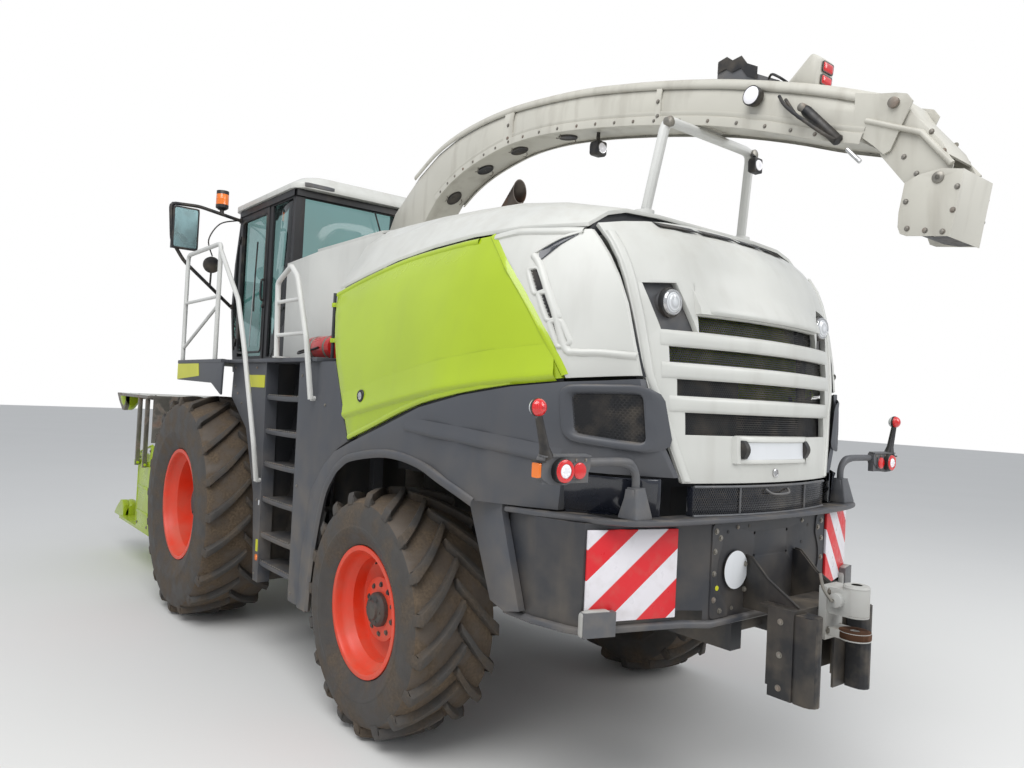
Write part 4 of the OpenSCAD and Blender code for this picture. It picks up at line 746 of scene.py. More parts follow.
def make_cowl_bars():
    """The rounded bars between the slots, the lip over the upper slot and the side edges."""
    shape = Shape("cowl_bars", "rear_cowl", OFFWHITE)
    for z in span(1.735, 2.98, 14):
        y = between([(1.72, 0.66), (2.25, 0.865), (2.65, 0.915), (3.035, 0.955)], z)
        shape.row(on_cowl(y + a, z, b)
                  for a, b in ((-0.052, -0.004), (-0.046, 0.006), (-0.034, 0.01), (-0.012, 0.01),
                               (-0.004, 0.004), (-0.003, -0.02)))
    shape.sheet().mirror()
    for (z, opening, half), (z2, opening2, half2) in zip(SLOTS, SLOTS[1:]):
        top = z - opening / 2
        low = z2 + opening2 / 2
        cowl_band(shape, max(half, half2) + 0.045, [
            (top - 0.001, -0.012), (top - 0.001, 0.004), (top - 0.01, 0.012), (top - 0.022, 0.015),
            (low + 0.018, 0.01), (low + 0.006, 0.006), (low + 0.001, -0.002), (low + 0.001, -0.012)])
    cowl_band(shape, 0.55,
              [(2.584, 0.02), (2.578, 0.03), (2.583, 0.039), (2.6, 0.042), (2.625, 0.036), (2.7, 0.004),
               (2.74, -0.004)])
    shape.done(angle=60)


def make_cowl_lamps():
    """A clear round lamp with its bright ring in each dark recess."""
    shape = Shape("reversing_lamps", "rear_cowl", LAMP_GLASS, CHROME, BLACK_PLASTIC)
    spot = at(-4.926, 0.7, 2.625)
    shape.use(CHROME).turned(spot, BACK, [(0.066, -0.03), (0.066, 0.004), (0.062, 0.01), (0.056, 0.01),
                                          (0.052, 0.002)], 48)
    shape.use(LAMP_GLASS).turned(spot, BACK,
                                 [(0.055, 0.004), (0.05, 0.01), (0.036, 0.016),
                                  (0.018, 0.019), (0, 0.02)], 48)
    shape.use(BLACK_PLASTIC).turned(spot, BACK, [(0.076, -0.03), (0.076, -0.008), (0.067, -0.004)], 48)
    shape.mirror().done(angle=50)


def make_plate():
    """Blank number plate in a rounded raised frame between two dark lamps, and the round lock."""
    shape = Shape("plate_holder", "rear_cowl", OFFWHITE, PLATE_WHITE, BLACK_PLASTIC, CHROME)
    low, top, half = PLATE_LOW, PLATE_TOP, PLATE_HALF_W
    shape.use(OFFWHITE)
    for z in span(low - 0.012, top, 8):
        shape.row(on_cowl(y, z, p)
                  for y, p in ((half - 0.03, 0.014), (half - 0.012, 0.024), (half + 0.006, 0.022),
                               (half + 0.018, -0.006)))
    shape.sheet().use(BLACK_PLASTIC)
    for i, z in enumerate(span(1.852, 1.944, 6)):
        bulge = 0.02 + 0.022 * math.sin(math.pi * i / 6)
        shape.row(on_cowl(y, z, p)
                  for y, p in ((0.262, 0.01), (0.266, bulge), (0.3, bulge + 0.004), (0.312, 0.01)))
    shape.sheet().mirror()
    shape.use(OFFWHITE)
    cowl_band(shape, half,
              [(top + 0.006, -0.03), (top + 0.004, 0.016), (top - 0.008, 0.026), (top - 0.022, 0.026),
               (top - 0.028, 0.016)], 16)
    cowl_band(shape, half, [(low + 0.01, 0.014), (low, 0.02), (low - 0.012, 0.018), (low - 0.02, -0.002)], 16)
    shape.use(PLATE_WHITE).grid([[on_cowl(y, z, 0.016) for z in (1.846, 1.848, 1.95, 1.952)]
                                 for y in span(-0.262, 0.262, 12)])
    shape.use(CHROME).turned(on_cowl(0.011, 1.773), BACK, [(0.024, -0.01), (0.024, 0.006), (0.019, 0.009),
                                                          (0.018, 0.004), (0, 0.004)])
    shape.done(angle=45)


def make_roof_slot_shade():
    """Four dark strips between the cowl's top and the hood: painted shade of the slots there."""
    shape = Shape("roof_slot_shade", "rear_cowl", BLACK_PLASTIC)
    edges = [-0.62, -0.32, -0.02, 0.3, 0.6]
    for left, right in zip(edges, edges[1:]):
        shape.grid([[on_cowl(y, z, p)
                     for z, p in ((3.062, -0.006), (3.066, 0.003), (3.092, 0.003), (3.096, -0.006))]
                    for y in span(left + 0.02, right - 0.02, 8)])
    shape.done()


def make_tail_mesh():
    """The honeycomb under the cowl, with its frame and a handle."""
    shape = Shape("tail_mesh", "machine", BLACK_PLASTIC, GREY_PLASTIC)
    shape.net(lambda u, v: on_cowl(u - 0.6, 1.572 + v, 0.004), 1.2, 0.125, 0.014, 0.004)
    shape.use(GREY_PLASTIC)
    for z in (1.563, 1.708):
        shape.tube([on_cowl(y, z, 0.006) for y in span(-0.6, 0.6, 24)], 0.007, 8)
    for y in (-0.3, 0.3):
        shape.tube([on_cowl(y, 1.563, 0.006), on_cowl(y, 1.708, 0.006)], 0.006, 8)
    handle = ((0.1, 1.69, 0.006), (0.08, 1.67, 0.03), (0, 1.665, 0.034), (-0.08, 1.67, 0.03),
              (-0.1, 1.69, 0.006))
    shape.tube(curve([on_cowl(*p) for p in handle], 4), 0.006, 8)
    shape.done()


make_cowl_meshes()
make_cowl_bars()
make_cowl_lamps()
make_plate()
make_roof_slot_shade()
make_tail_mesh()


# Outlines on the body's side
def widened(outline, by):
    """An outline of (length, height) with its edges moved outwards."""
    points = [Vector(p) for p in outline]
    turn = sum(a.x * b.y - b.x * a.y for a, b in zip(points, points[1:] + points[:1]))
    sign = 1 if turn > 0 else -1
    moved = []
    for i, p in enumerate(points):
        before = (p - points[i - 1]).normalized()
        after = (points[(i + 1) % len(points)] - p).normalized()
        out = Vector((before.y + after.y, -before.x - after.x)) * sign
        out.normalize()
        lean = max(0.5, out.dot(Vector((before.y, -before.x)) * sign))
        moved.append(p + out * (by / lean))
    return moved


def rounded(outline, radius, step=0.05):
    """An outline with round corners, its long edges cut into short lengths."""
    points = [Vector(p) for p in outline]
    path = []
    for i, p in enumerate(points):
        before, after = points[i - 1], points[(i + 1) % len(points)]
        r = min(radius, (before - p).length * 0.45, (after - p).length * 0.45)
        a = p + (before - p).normalized() * r
        b = p + (after - p).normalized() * r
        path += [a * (1 - t) ** 2 + p * 2 * t * (1 - t) + b * t ** 2 for t in (0, 0.25, 0.5, 0.75, 1)]
    fine = []
    for a, b in zip(path, path[1:] + path[:1]):
        count = max(1, int((b - a).length / step))
        fine += [a + (b - a) * k / count for k in range(count)]
    return fine


def box(low, high):
    """The four corners of an upright rectangle, from its low and high corner."""
    return [low, (high[0], low[1]), high, (low[0], high[1])]


def side_on(x, z, y):
    """Puts an outline of (length, height) at a distance from the middle."""
    return at(x, y, z)


def end_on(y, z, x):
    """Puts an outline of (distance from the middle, height) at a length."""
    return at(x, y, z)


def flat_on(x, y, z):
    """Puts an outline of (length, distance from the middle) at a height."""
    return at(x, y, z)


def rings(put, outline, *levels):
    """An outline at several levels; each is a level, or a level and how far the outline is drawn in there."""
    pairs = [level if isinstance(level, tuple) else (level, 0) for level in levels]
    return [[put(p.x, p.y, level) for p in widened(outline, -cut)] for level, cut in pairs]


def side_ring(shape, outline, radius, section):
    """A frame around an outline on the body's side: section of (outwards, proud)."""
    start = rounded(outline, radius)
    for grow, proud in section:
        ring = rounded(widened(outline, grow), radius + max(grow, -radius * 0.8)) if grow else start
        if len(ring) != len(start):
            ring = [ring[round(i * (len(ring) - 1) / (len(start) - 1))] for i in range(len(start))]
        shape.row(on_side(p.x, p.y, proud) for p in ring)
    shape.sheet(closed=True)


def across(corners, u, v):
    """A place between four corners: low front, low rear, top rear, top front."""
    a, b, c, d = (Vector(p) for p in corners)
    return (a * (1 - u) + b * u) * (1 - v) + (d * (1 - u) + c * u) * v


def side_sheet(shape, corners, proud, steps=6):
    """A sheet between four corners that follows the body's side."""
    shares = span(0, 1, steps)
    shape.grid([[on_side(*across(corners, u, v), proud) for v in shares] for u in shares])


def side_net(shape, corners, proud, cell, wire):
    """Honeycomb between four corners on the body's side."""
    a, b, c, d = (Vector(p) for p in corners)
    width = max((b - a).length, (c - d).length)
    height = max((d - a).length, (c - b).length)

    def place(u, v):
        return on_side(*across(corners, min(1, max(0, u / width)), min(1, max(0, v / height))), proud)

    shape.net(place, width, height, cell, wire)


# Side doors, white panels and fenders
SEAM_BOW = 0.055
DOOR_REAR_LOW, DOOR_REAR_TOP = Vector((-4.628, 2.226)), Vector((-4.05, 2.984))
GREEN_TOP = curve([(-2.4, 2.796), (-2.8, 2.884), (-3.3, 2.96), (-4.05, 2.992)], 6)
GREEN_LOW = curve([(-2.863, 1.79), (-3.15, 1.878), (-3.738, 2.055), (-4.628, 2.218)], 6)
CREASE = curve([(-2.79, 1.944), (-3.3, 2.04), (-3.9, 2.14), (-4.6, 2.232)], 8)
DOOR_LOCK = (-3.024, 2.076)
VENTS = [[(-4.447, 2.653), (-4.489, 2.668), (-4.42, 2.78), (-4.383, 2.773)],
         [(-4.538, 2.512), (-4.577, 2.523), (-4.51, 2.643), (-4.472, 2.642)],
         [(-4.604, 2.379), (-4.643, 2.397), (-4.59, 2.5), (-4.554, 2.492)]]
SCOOP = [(-4.402, 2.872), (-4.422, 2.818), (-4.496, 2.9), (-4.577, 2.97), (-4.485, 2.934)]


def make_door_folds(name, side):
    """The fold along a side door, its rolled edges and its round lock."""
    shape = Shape("door_folds_" + name, "side_door_" + name, LIME, CHROME, BLACK_PLASTIC)
    side_strip(shape, CREASE,
               [(-0.16, -0.001), (-0.1, 0.004), (-0.03, 0.014), (-0.008, 0.019), (0.004, 0.018),
                (0.014, 0.01), (0.03, -0.004)])
    side_strip(shape, GREEN_TOP[:-1],
               [(0.034, -0.002), (0.026, 0.005), (0.01, 0.008), (0.002, 0.004), (0, -0.012)])
    side_strip(shape, GREEN_LOW[:-2],
               [(-0.034, -0.002), (-0.024, 0.004), (-0.008, 0.006), (0, 0.001), (0, -0.014)])
    rear = [DOOR_REAR_LOW.lerp(DOOR_REAR_TOP, s) - Vector((SEAM_BOW * 4 * s * (1 - s), 0))
            for s in span(0, 1, 24)]
    side_strip(shape, rear, [(0.03, -0.001), (0.02, 0.006), (0.006, 0.008), (0, 0.003), (0, -0.014)])
    spot = on_side(*DOOR_LOCK, 0.006)
    shape.use(BLACK_PLASTIC).turned(spot, LEFT,
                                    [(0.04, -0.012), (0.04, 0.006), (0.034, 0.012), (0.026, 0.012)])
    shape.use(CHROME).turned(spot, LEFT, [(0.027, 0), (0.027, 0.009), (0.022, 0.013), (0, 0.013)])
    shape.moved_to(side).done(angle=50)


def make_white_field():
    """Rim of the white field, its three honeycomb vents with black sheets of painted shade behind them, and a
    dark sheet of painted shade over the scoop's groove.
    """
    shape = Shape("white_field", "machine", OFFWHITE, BLACK_PLASTIC, SHINY_DARK)
    for vent in VENTS:
        # Black sheet behind each honeycomb: painted shade of the vent's opening; the honeycomb over it is
        # black mesh.
        shape.use(BLACK_PLASTIC)
        side_sheet(shape, vent, -0.01, 4)
        side_net(shape, vent, -0.002, 0.0125, 0.004)
        shape.use(OFFWHITE)
        side_ring(shape, vent, 0.01,
                  [(0.02, -0.002), (0.017, 0.007), (0.01, 0.011), (0.002, 0.009), (-0.002, 0.002),
                   (-0.003, -0.012)])
    rim = curve([(-4.38, 2.86), (-4.422, 2.815), (-4.47, 2.735), (-4.56, 2.56), (-4.634, 2.372),
                 (-4.68, 2.352), (-4.78, 2.352), (-4.905, 2.342)], 6)
    side_strip(shape, rim, [(-0.014, -0.001), (-0.01, 0.008), (-0.002, 0.014), (0.008, 0.014), (0.016, 0.008),
                            (0.024, -0.002)])
    top = curve([(-4.09, 2.985), (-4.25, 3), (-4.42, 2.992), (-4.585, 2.985)], 6)
    side_strip(shape, top, [(-0.016, -0.004), (-0.012, 0.008), (0, 0.013), (0.016, 0.01), (0.026, -0.002)])
    hood = curve([(-4.385, 2.872), (-4.485, 2.94), (-4.585, 2.98)], 6)
    side_strip(shape, hood, [(-0.012, -0.001), (-0.008, 0.008), (0, 0.012), (0.006, 0.01), (0.008, 0)])
    # The scoop's groove is not shaped; this dark sheet over its outline is painted shade.
    shape.use(SHINY_DARK)
    points = rounded(SCOOP, 0.016, 0.02)
    middle = sum(points, Vector((0, 0))) / len(points)
    shape.grid([[on_side(*middle.lerp(p, share), deep) for p in points]
                for share, deep in ((1, 0.004), (0.7, 0.001), (0.3, 0.0005), (0.02, 0.0005))], closed=True)
    shape.mirror().done(angle=50)


ARCH = curve([(-2.39, 0.58), (-2.44, 0.961), (-2.56, 1.38), (-2.69, 1.56), (-2.8, 1.64), (-2.965, 1.705),
              (-3.4, 1.763), (-3.766, 1.735), (-4.042, 1.646), (-4.23, 1.576)], 5)
GRILLE = [(-4.698, 1.95), (-4.95, 1.916), (-4.934, 2.154), (-4.678, 2.144)]


def make_fender_lips():
    """Rounded lip of the arch, the fold over the wheel and the framed honeycomb at the rear, with a black
    sheet of painted shade behind the honeycomb.
    """
    shape = Shape("fender_lips", "machine", ANTHRACITE, BLACK_PLASTIC, SHINY_DARK)
    side_strip(shape, ARCH, [(-0.004, -0.024), (-0.008, 0.01), (-0.004, 0.026), (0.01, 0.034), (0.028, 0.032),
                             (0.046, 0.0195)])
    fold = curve([(-3.6, 1.905), (-4, 1.88), (-4.196, 1.864), (-4.42, 1.838), (-4.65, 1.804)], 6)
    side_strip(shape, fold,
               [(-0.07, 0.0195), (-0.02, 0.026), (-0.004, 0.031), (0.006, 0.029), (0.016, 0.0195)])
    side_ring(shape, GRILLE, 0.03,
              [(0.046, 0.019), (0.042, 0.03), (0.034, 0.036), (0.014, 0.034), (0.004, 0.024), (-0.001, 0.008),
               (-0.001, -0.004)])
    # Black sheet behind the honeycomb: painted shade of the grille's opening; the honeycomb over it is black
    # mesh.
    shape.use(BLACK_PLASTIC)
    side_sheet(shape, GRILLE, -0.002)
    side_net(shape, GRILLE, 0.008, 0.015, 0.0045)
    shape.use(SHINY_DARK)
    side_strip(shape, curve([(-4.655, 1.752), (-4.76, 1.748), (-4.86, 1.744), (-4.975, 1.738)], 5),
               [(-0.004, 0.012), (0, 0.02), (0.02, 0.006), (0.17, -0.022), (0.178, -0.03)])
    shape.mirror().done(angle=50)


def make_seam_gap_shade():
    """A dark sheet behind the seam between the side and the cowl: painted shade in the gap."""
    shape = Shape("seam_gap_shade", "machine", DARK_STEEL)
    front = curve([(-4.6, 2.97), (-4.7, 2.83), (-4.82, 2.58), (-4.9, 2.24)], 5)
    shape.grid([[on_side(p.x + shift, p.y, proud) for p in front]
                for shift, proud in ((0.03, -0.03), (0, -0.03), (-0.02, -0.036))])
    shape.mirror().done()


make_door_folds("left", 1)
make_door_folds("right", -1)
make_white_field()
make_fender_lips()
make_seam_gap_shade()


# Driver's seat, wheel and console
PAD_POWER = 0.42


def squared_off(value):
    """A sine or cosine, pushed outwards for a form with squarer sides."""
    return math.copysign(abs(value) ** PAD_POWER, value)


def pad(name, middle, size, lean=0.0, channels=()):
    """One upholstered pad: a crowned closed form with sewn channels across it."""
    shape = Shape(name, "machine", SEAT_CLOTH)
    for i in range(1, 48):
        up = math.pi * (i / 48 - 0.5)
        ring = []
        for turn in turns(96):
            x = squared_off(math.cos(up)) * squared_off(math.cos(turn)) * size[0] / 2
            y = squared_off(math.cos(up)) * squared_off(math.sin(turn)) * size[1] / 2
            z = squared_off(math.sin(up)) * size[2] / 2
            groove = sum(0.035 * math.exp(-((y - c) / 0.01) ** 2) for c in channels)
            x *= 1 - groove
            z *= 1 - groove
            ring.append(at(middle[0] + x + lean * z, middle[1] + y, middle[2] + z))
        shape.row(ring)
    return shape.sheet(closed=True, caps=True).done(angle=80)


def make_seat():
    """Cushion, back and head rest, the base under them, the wheel on its column and the console."""
    cushion = pad("seat_cushion", (0.04, 0, 2.683), (0.46, 0.5, 0.118), 0.0, (-0.13, 0.13))
    back = pad("seat_back", (-0.2, 0, 3.035), (0.105, 0.47, 0.57), -0.18, (-0.13, 0.13))
    rest = pad("head_rest", (-0.262, 0, 3.375), (0.085, 0.25, 0.095))
    shape = Shape("seat_base", "machine", BLACK_PLASTIC, GREY_PLASTIC, CHROME)
    shape.block(at(-0.15, -0.18, 2.31), at(0.15, 0.18, 2.36))
    shape.block(at(-0.17, -0.21, 2.585), at(0.24, 0.21, 2.622))
    for k in range(6):
        z = 2.36 + k * 0.0375
        wide = 0.012 * (k % 2)
        shape.block(at(-0.13 - wide, -0.16 - wide, z), at(0.13 + wide, 0.16 + wide, z + 0.0375))
    shape.use(GREY_PLASTIC).block(at(-0.1, -0.63, 2.31), at(0.49, -0.31, 2.78))
    shape.solid(rings(side_on, [(-0.08, 2.78), (0.48, 2.78), (0.4, 2.855), (-0.06, 2.825)], -0.62, -0.32))
    shape.use(CHROME).rod(at(0.36, -0.45, 2.84), at(0.4, -0.45, 2.86), 0.012)
    shape.use(BLACK_PLASTIC)
    shape.solid(rings(side_on, [(0.63, 2.31), (0.565, 2.31), (0.485, 2.8), (0.525, 2.815)], -0.045, 0.045))
    hub = at(0.488, 0, 2.835)
    slope = Vector((0.866, 0, 0.5))
    shape.tube([hub + (slope * math.cos(a) + LEFT * math.sin(a)) * 0.185
                for a in span(0, 2 * math.pi, 40)], 0.014)
    shape.turned(hub, (-0.5, 0, 0.866), [(0.045, -0.02), (0.055, 0), (0.04, 0.012), (0, 0.014)], 24)
    for a in (0.6, 2.54, 4.71):
        shape.tube([hub, hub + (slope * math.cos(a) + LEFT * math.sin(a)) * 0.183], 0.011, 8)
    base = shape.done(soft=0.006)
    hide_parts("driver_seat")


make_seat()


# Spout: its top and bottom lines by length, and places on it
SPOUT_TOP = [(-1.401, 4.072), (-1.718, 4.217), (-2.017, 4.293), (-2.369, 4.33), (-2.758, 4.334),
             (-3.169, 4.3), (-3.59, 4.244), (-3.966, 4.169), (-4.304, 4.091), (-4.715, 3.981), (-5.1, 3.856),
             (-5.4, 3.745), (-5.644, 3.64)]
SPOUT_LOW = [(-1.8, 3.79), (-1.98, 3.885), (-2.2, 3.962), (-2.48, 4.018), (-2.79, 4.05), (-3.15, 4.038),
             (-3.55, 3.985), (-3.91, 3.918), (-4.25, 3.845), (-4.66, 3.742), (-5.04, 3.618), (-5.335, 3.505),
             (-5.578, 3.425)]
SPOUT_HALF_W = 0.14
HATCHES = [-1.86, -2.3, -2.74, -3.3]


def up_from(path, i):
    """Direction square to a path in the side view, upwards."""
    way = (path[min(i + 1, len(path) - 1)] - path[max(i - 1, 0)]).normalized()
    return Vector((way.y, -way.x)) if way.x < 0 else Vector((-way.y, way.x))


def spout_strip(shape, path, y, section):
    """A moulding along the spout: section of (up, sideways) about a path at that distance from the middle."""
    for i, p in enumerate(path):
        up = up_from(path, i)
        shape.row(at(p.x + up.x * a, y + b, p.y + up.y * a) for a, b in section)
    shape.sheet()


def line_at(table, x):
    """Height of one of the spout's lines at a length."""
    return between(sorted(table), x)


def make_spout_seams():
    """Round bead along the top corners, the two wear strips on the sides and their bolts."""
    shape = Shape("spout_seams", "spout", SPOUT_WHITE, STEEL)
    top = curve(SPOUT_TOP, 4)
    low = curve(SPOUT_LOW, 4)
    spout_strip(shape, [p - up_from(top, i) * 0.03 for i, p in enumerate(top)], 0.128,
                [(0.034, -0.03), (0.04, -0.016), (0.032, 0), (0.018, 0.01), (0, 0.016), (-0.016, 0.012),
                 (-0.02, 0.004)])
    spout_strip(shape, low, SPOUT_HALF_W,
                [(0.07, -0.001), (0.068, 0.006), (0.052, 0.008), (0.044, 0.003), (0.04, 0.003), (0.036, 0.01),
                 (0.01, 0.013), (-0.014, 0.012), (-0.016, -0.006)])
    spots = [low[i] + up_from(low, i) * 0.01 for i in range(2, len(low) - 2, 2)]
    shape.use(STEEL).bolts([at(p.x, SPOUT_HALF_W + 0.012, p.y) for p in spots], LEFT, 0.008)
    shape.mirror().done(angle=50)


def make_spout_sleeve():
    """Bolted flanges where the spout's lengths meet."""
    shape = Shape("spout_sleeves", "spout", SPOUT_WHITE, STEEL)
    flanges = ((-2.775, 0.055), (-4.277, 0.022))
    for x, half in flanges:
        low, top = line_at(SPOUT_LOW, x), line_at(SPOUT_TOP, x)
        shape.use(STEEL).bolts([at(x, SPOUT_HALF_W + 0.009, low + (top - low) * share)
                                for share in (0.15, 0.5)], LEFT, 0.01)
    shape.mirror().use(SPOUT_WHITE)
    for x, half in flanges:
        for shift, out in ((-half, 0.001), (-half + 0.002, 0.009), (half - 0.002, 0.009), (half, 0.001)):
            low, top = line_at(SPOUT_LOW, x + shift), line_at(SPOUT_TOP, x + shift)
            ring = [(SPOUT_HALF_W + out, low - 0.004), (SPOUT_HALF_W + out, low + (top - low) * 0.6),
                    (SPOUT_HALF_W * 0.93 + out, low + (top - low) * 0.84),
                    (SPOUT_HALF_W * 0.62 + out, top + out + 0.001)]
            shape.row(at(x + shift, y, z) for y, z in ring + [(-y, z) for y, z in ring[::-1]])
        shape.sheet()
    shape.done(angle=50)


def make_spout_hatches():
    """Dark oval hatches with their hooks on the underside."""
    shape = Shape("spout_hatches", "spout", BLACK_PLASTIC, STEEL)
    for x in HATCHES:
        rise = (line_at(SPOUT_LOW, x + 0.05) - line_at(SPOUT_LOW, x - 0.05)) / 0.1
        way = Vector((1, 0, rise)).normalized()
        down = Vector((rise, 0, -1)).normalized()
        middle = at(x, 0, line_at(SPOUT_LOW, x))
        for size, out in ((1, -0.002), (1, 0.01), (0.94, 0.014), (0.86, 0.01), (0.5, 0.009), (0.02, 0.009)):
            shape.row(middle + way * (math.cos(a) * 0.085 * size) + Vector((0, math.sin(a) * 0.055 * size, 0))
                      + down * out for a in turns(32))
        shape.use(BLACK_PLASTIC).sheet(closed=True).use(STEEL)
        for y in (-0.075, 0.075):
            spot = middle + Vector((0, y, 0))
            hook = ((0.004, 0), (0.024, 0), (0.03, 0.02), (0.024, 0.04))
            shape.tube(curve([spot + down * a + way * b for a, b in hook], 4), 0.004, 6)
    shape.done(angle=50)


def make_hanging_lamp(shape):
    """Work lamp under the spout, on its bracket."""
    shape.use(BLACK_PLASTIC)
    shape.tube(curve([at(-3.614, 0, 3.972), at(-3.612, 0, 3.935), at(-3.614, 0, 3.905)], 4), 0.013)
    for x, half, low, top in ((-3.569, 0.036, 3.822, 3.895), (-3.584, 0.045, 3.812, 3.905),
                              (-3.639, 0.047, 3.806, 3.908), (-3.656, 0.043, 3.811, 3.903)):
        shape.row(at(x, p.x, p.y) for p in rounded(box((-half, low), (half, top)), 0.014))
    shape.sheet(closed=True, caps=True)
    glass = at(-3.656, 0, 3.857)
    shape.use(CHROME).turned(glass, BACK, [(0.037, 0), (0.037, 0.004), (0.033, 0.004)], 28)
    shape.use(WHITE_LED).turned(glass, BACK, [(0.034, 0.002), (0.03, 0.005), (0, 0.007)], 28)


def make_top_plates(shape):
    """Bent and torn plates on the spout's top."""
    path = [(-4.655, 4.112), (-4.79, 4.072), (-4.9, 3.984), (-5.05, 3.902)]
    shape.use(GREY_PLASTIC)
    for y in (0.02, 0.07):
        shape.grid([[at(x, y, z) for x, z in path],
                    [at(x, y, line_at(SPOUT_TOP, x) + 0.002) for x, z in path]])
    shape.grid([[at(x, y, z + rise) for x, z in path] for y, rise in ((0.02, 0), (0.045, 0.004), (0.07, 0))])
    torn = [(-4.66, 4.118), (-4.72, 4.13), (-4.76, 4.098), (-4.82, 4.106), (-4.86, 4.05), (-4.93, 4.01)]
    shape.use(BLACK_PLASTIC).grid([[at(x, y, z - drop) for x, z in torn]
                                   for y, drop in ((0.074, 0), (0.078, 0.07))])


def make_lamp_pod(shape):
    """Round lamp on the side and the pod with two red lamps."""
    spot = at(-4.98, SPOUT_HALF_W, 3.8)
    shape.use(BLACK_PLASTIC)
    shape.turned(spot, LEFT, [(0.03, 0), (0.05, 0.012), (0.054, 0.04), (0.054, 0.056), (0.048, 0.06)])
    shape.use(WHITE_LED).turned(spot, LEFT, [(0.05, 0.056), (0.044, 0.062), (0.022, 0.066), (0, 0.067)])
    shape.use(SPOUT_WHITE)
    outline = [(-5.102, 3.858), (-5.288, 3.79), (-5.306, 3.948), (-5.25, 3.988)]
    shape.solid([[at(p.x, y, p.y) for p in rounded(widened(outline, -cut), 0.02, 0.2)]
                 for y, cut in ((-0.068, 0.012), (-0.06, 0), (0.06, 0), (0.068, 0.012))])

    def lamp_rings(low, top, *levels):
        """Rings of a red lamp at levels of (outwards, drawn in)."""
        for out, cut in levels:
            ring = rounded(box((cut - 0.05, low + cut), (0.05 - cut, top - cut)), 0.01, 0.2)
            shape.row(at(-5.291 - out - (p.y - 3.79) * 0.11, p.x, p.y) for p in ring)

    for low, top in ((3.815, 3.868), (3.88, 3.935)):
        lamp_rings(low, top, (0, 0), (0.006, 0), (0.006, 0.005))
        shape.use(BLACK_PLASTIC).sheet(closed=True)
        lamp_rings(low, top, (0.005, 0.005), (0.01, 0.009), (0.012, 0.022))
        shape.use(RED_LENS).sheet(closed=True, caps=True)


def make_flap_cylinder(shape):
    """Cylinder along the spout's side, its rod and its hoses."""
    start, end = at(-5.3, 0.168, 3.636), at(-5.523, 0.168, 3.392)
    way = (end - start).normalized()
    shape.use(BLACK_PLASTIC)
    shape.turned(start, way,
                 [(0.02, -0.03), (0.026, -0.01), (0.028, 0), (0.028, 0.255), (0.022, 0.262)], 20, True)
    shape.use(CHROME).rod(end, end + way * 0.1, 0.011, 14)
    shape.use(STEEL)
    shape.turned(start - way * 0.03 - LEFT * 0.03, LEFT, [(0.022, 0), (0.022, 0.055), (0.01, 0.06)], 20, True)
    shape.use(HOSE)
    shape.hose([(-5.16, 0.145, 3.74), (-5.2, 0.185, 3.7), (-5.26, 0.205, 3.62), (-5.3, 0.2, 3.585)], 0.009)
    shape.hose([(-5.12, 0.145, 3.77), (-5.22, 0.215, 3.66), (-5.4, 0.225, 3.5), (-5.47, 0.196, 3.445)], 0.009)
    shape.hose([(-4.98, 0.05, 3.9), (-5.02, 0.08, 3.935), (-5.08, 0.1, 3.9), (-5.11, 0.06, 3.872)], 0.007, 5)


def make_spout_end():
    """Lamps, pod, plates, cylinder and hoses near the spout's end."""
    shape = Shape("spout_end_parts", "spout", BLACK_PLASTIC, SPOUT_WHITE, RED_LENS, WHITE_LED, CHROME,
                  GREY_PLASTIC, STEEL, HOSE)
    make_hanging_lamp(shape)
    make_top_plates(shape)
    make_lamp_pod(shape)
    make_flap_cylinder(shape)
    piece = shape.done(angle=45)
    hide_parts("spout_lamps")


def make_flap_parts():
    """Link bars, torn rubber and bolts of the two flaps."""
    shape = Shape("upper_flap_parts", "upper_flap", SPOUT_WHITE, BLACK_PLASTIC, STEEL)
    shape.tube([at(-5.6, 0.142, 3.52), at(-5.863, 0.146, 3.401), at(-6, 0.146, 3.23)], 0.014, 8)
    shape.use(STEEL)
    for x, z in ((-5.734, 3.57), (-5.948, 3.176)):
        shape.turned(at(x, 0.128, z), LEFT, [(0.034, 0), (0.034, 0.008), (0.026, 0.014), (0.026, 0.034),
                                             (0.02, 0.038)], 24, True)
    spots = ((-5.7, 3.44), (-5.78, 3.31), (-5.84, 3.22), (-5.9, 3.4), (-5.955, 3.3))
    shape.bolts([at(x, 0.128, z) for x, z in spots], LEFT, 0.009)
    shape.mirror().use(BLACK_PLASTIC)
    shape.grid([[at(-5.628, y, 3.436), at(-5.665, y * 1.01, 3.35), at(-5.745, y, 3.24),
                 at(-5.8, y * 0.98, 3.17)] for y in (-0.105, -0.05, 0, 0.06, 0.105)])
    shape.done(angle=50)
    lower = Shape("lower_flap_parts", "lower_flap", STEEL, BLACK_PLASTIC, RUSTY)
    spots = ((-5.82, 2.965), (-5.9, 2.945), (-5.975, 2.93), (-6.015, 3.02), (-6.03, 3.12), (-5.81, 3.09))
    lower.bolts([at(x, 0.158, z) for x, z in spots], LEFT, 0.009)
    lower.mirror().use(BLACK_PLASTIC)
    edge = ((-5.8, 2.99), (-5.86, 2.935), (-5.93, 2.915), (-5.99, 2.912))
    lower.grid([[at(x, y, z) for x, z in edge] for y in (-0.14, 0, 0.14)])
    lower.done(angle=50)


make_spout_seams()
make_spout_sleeve()
make_spout_hatches()
make_spout_end()
make_flap_parts()


# Rear lamps, tail and hitch
FACET_START = Vector((-5.015, 0.64))
FACET_WAY = Vector((0.155, 0.535)).normalized()
FACET_OUT = Vector((-FACET_WAY.y, FACET_WAY.x))
TAIL_PLAN = [(-4.39, 1.244), (-4.6, 1.244), (-4.8, 1.2), (-4.86, 1.175), (-5.015, 0.64), (-5.085, 0.52)]
BELT_PLAN = [(-4.4, 1.29), (-4.6, 1.24), (-4.85, 1.145), (-5, 1.03), (-5.085, 0.8), (-5.14, 0.35), (-5.15, 0)]


def on_facet(along, z, out):
    """A place on the tail's flat rear corner."""
    p = FACET_START + FACET_WAY * along + FACET_OUT * out
    return at(p.x, p.y, z)


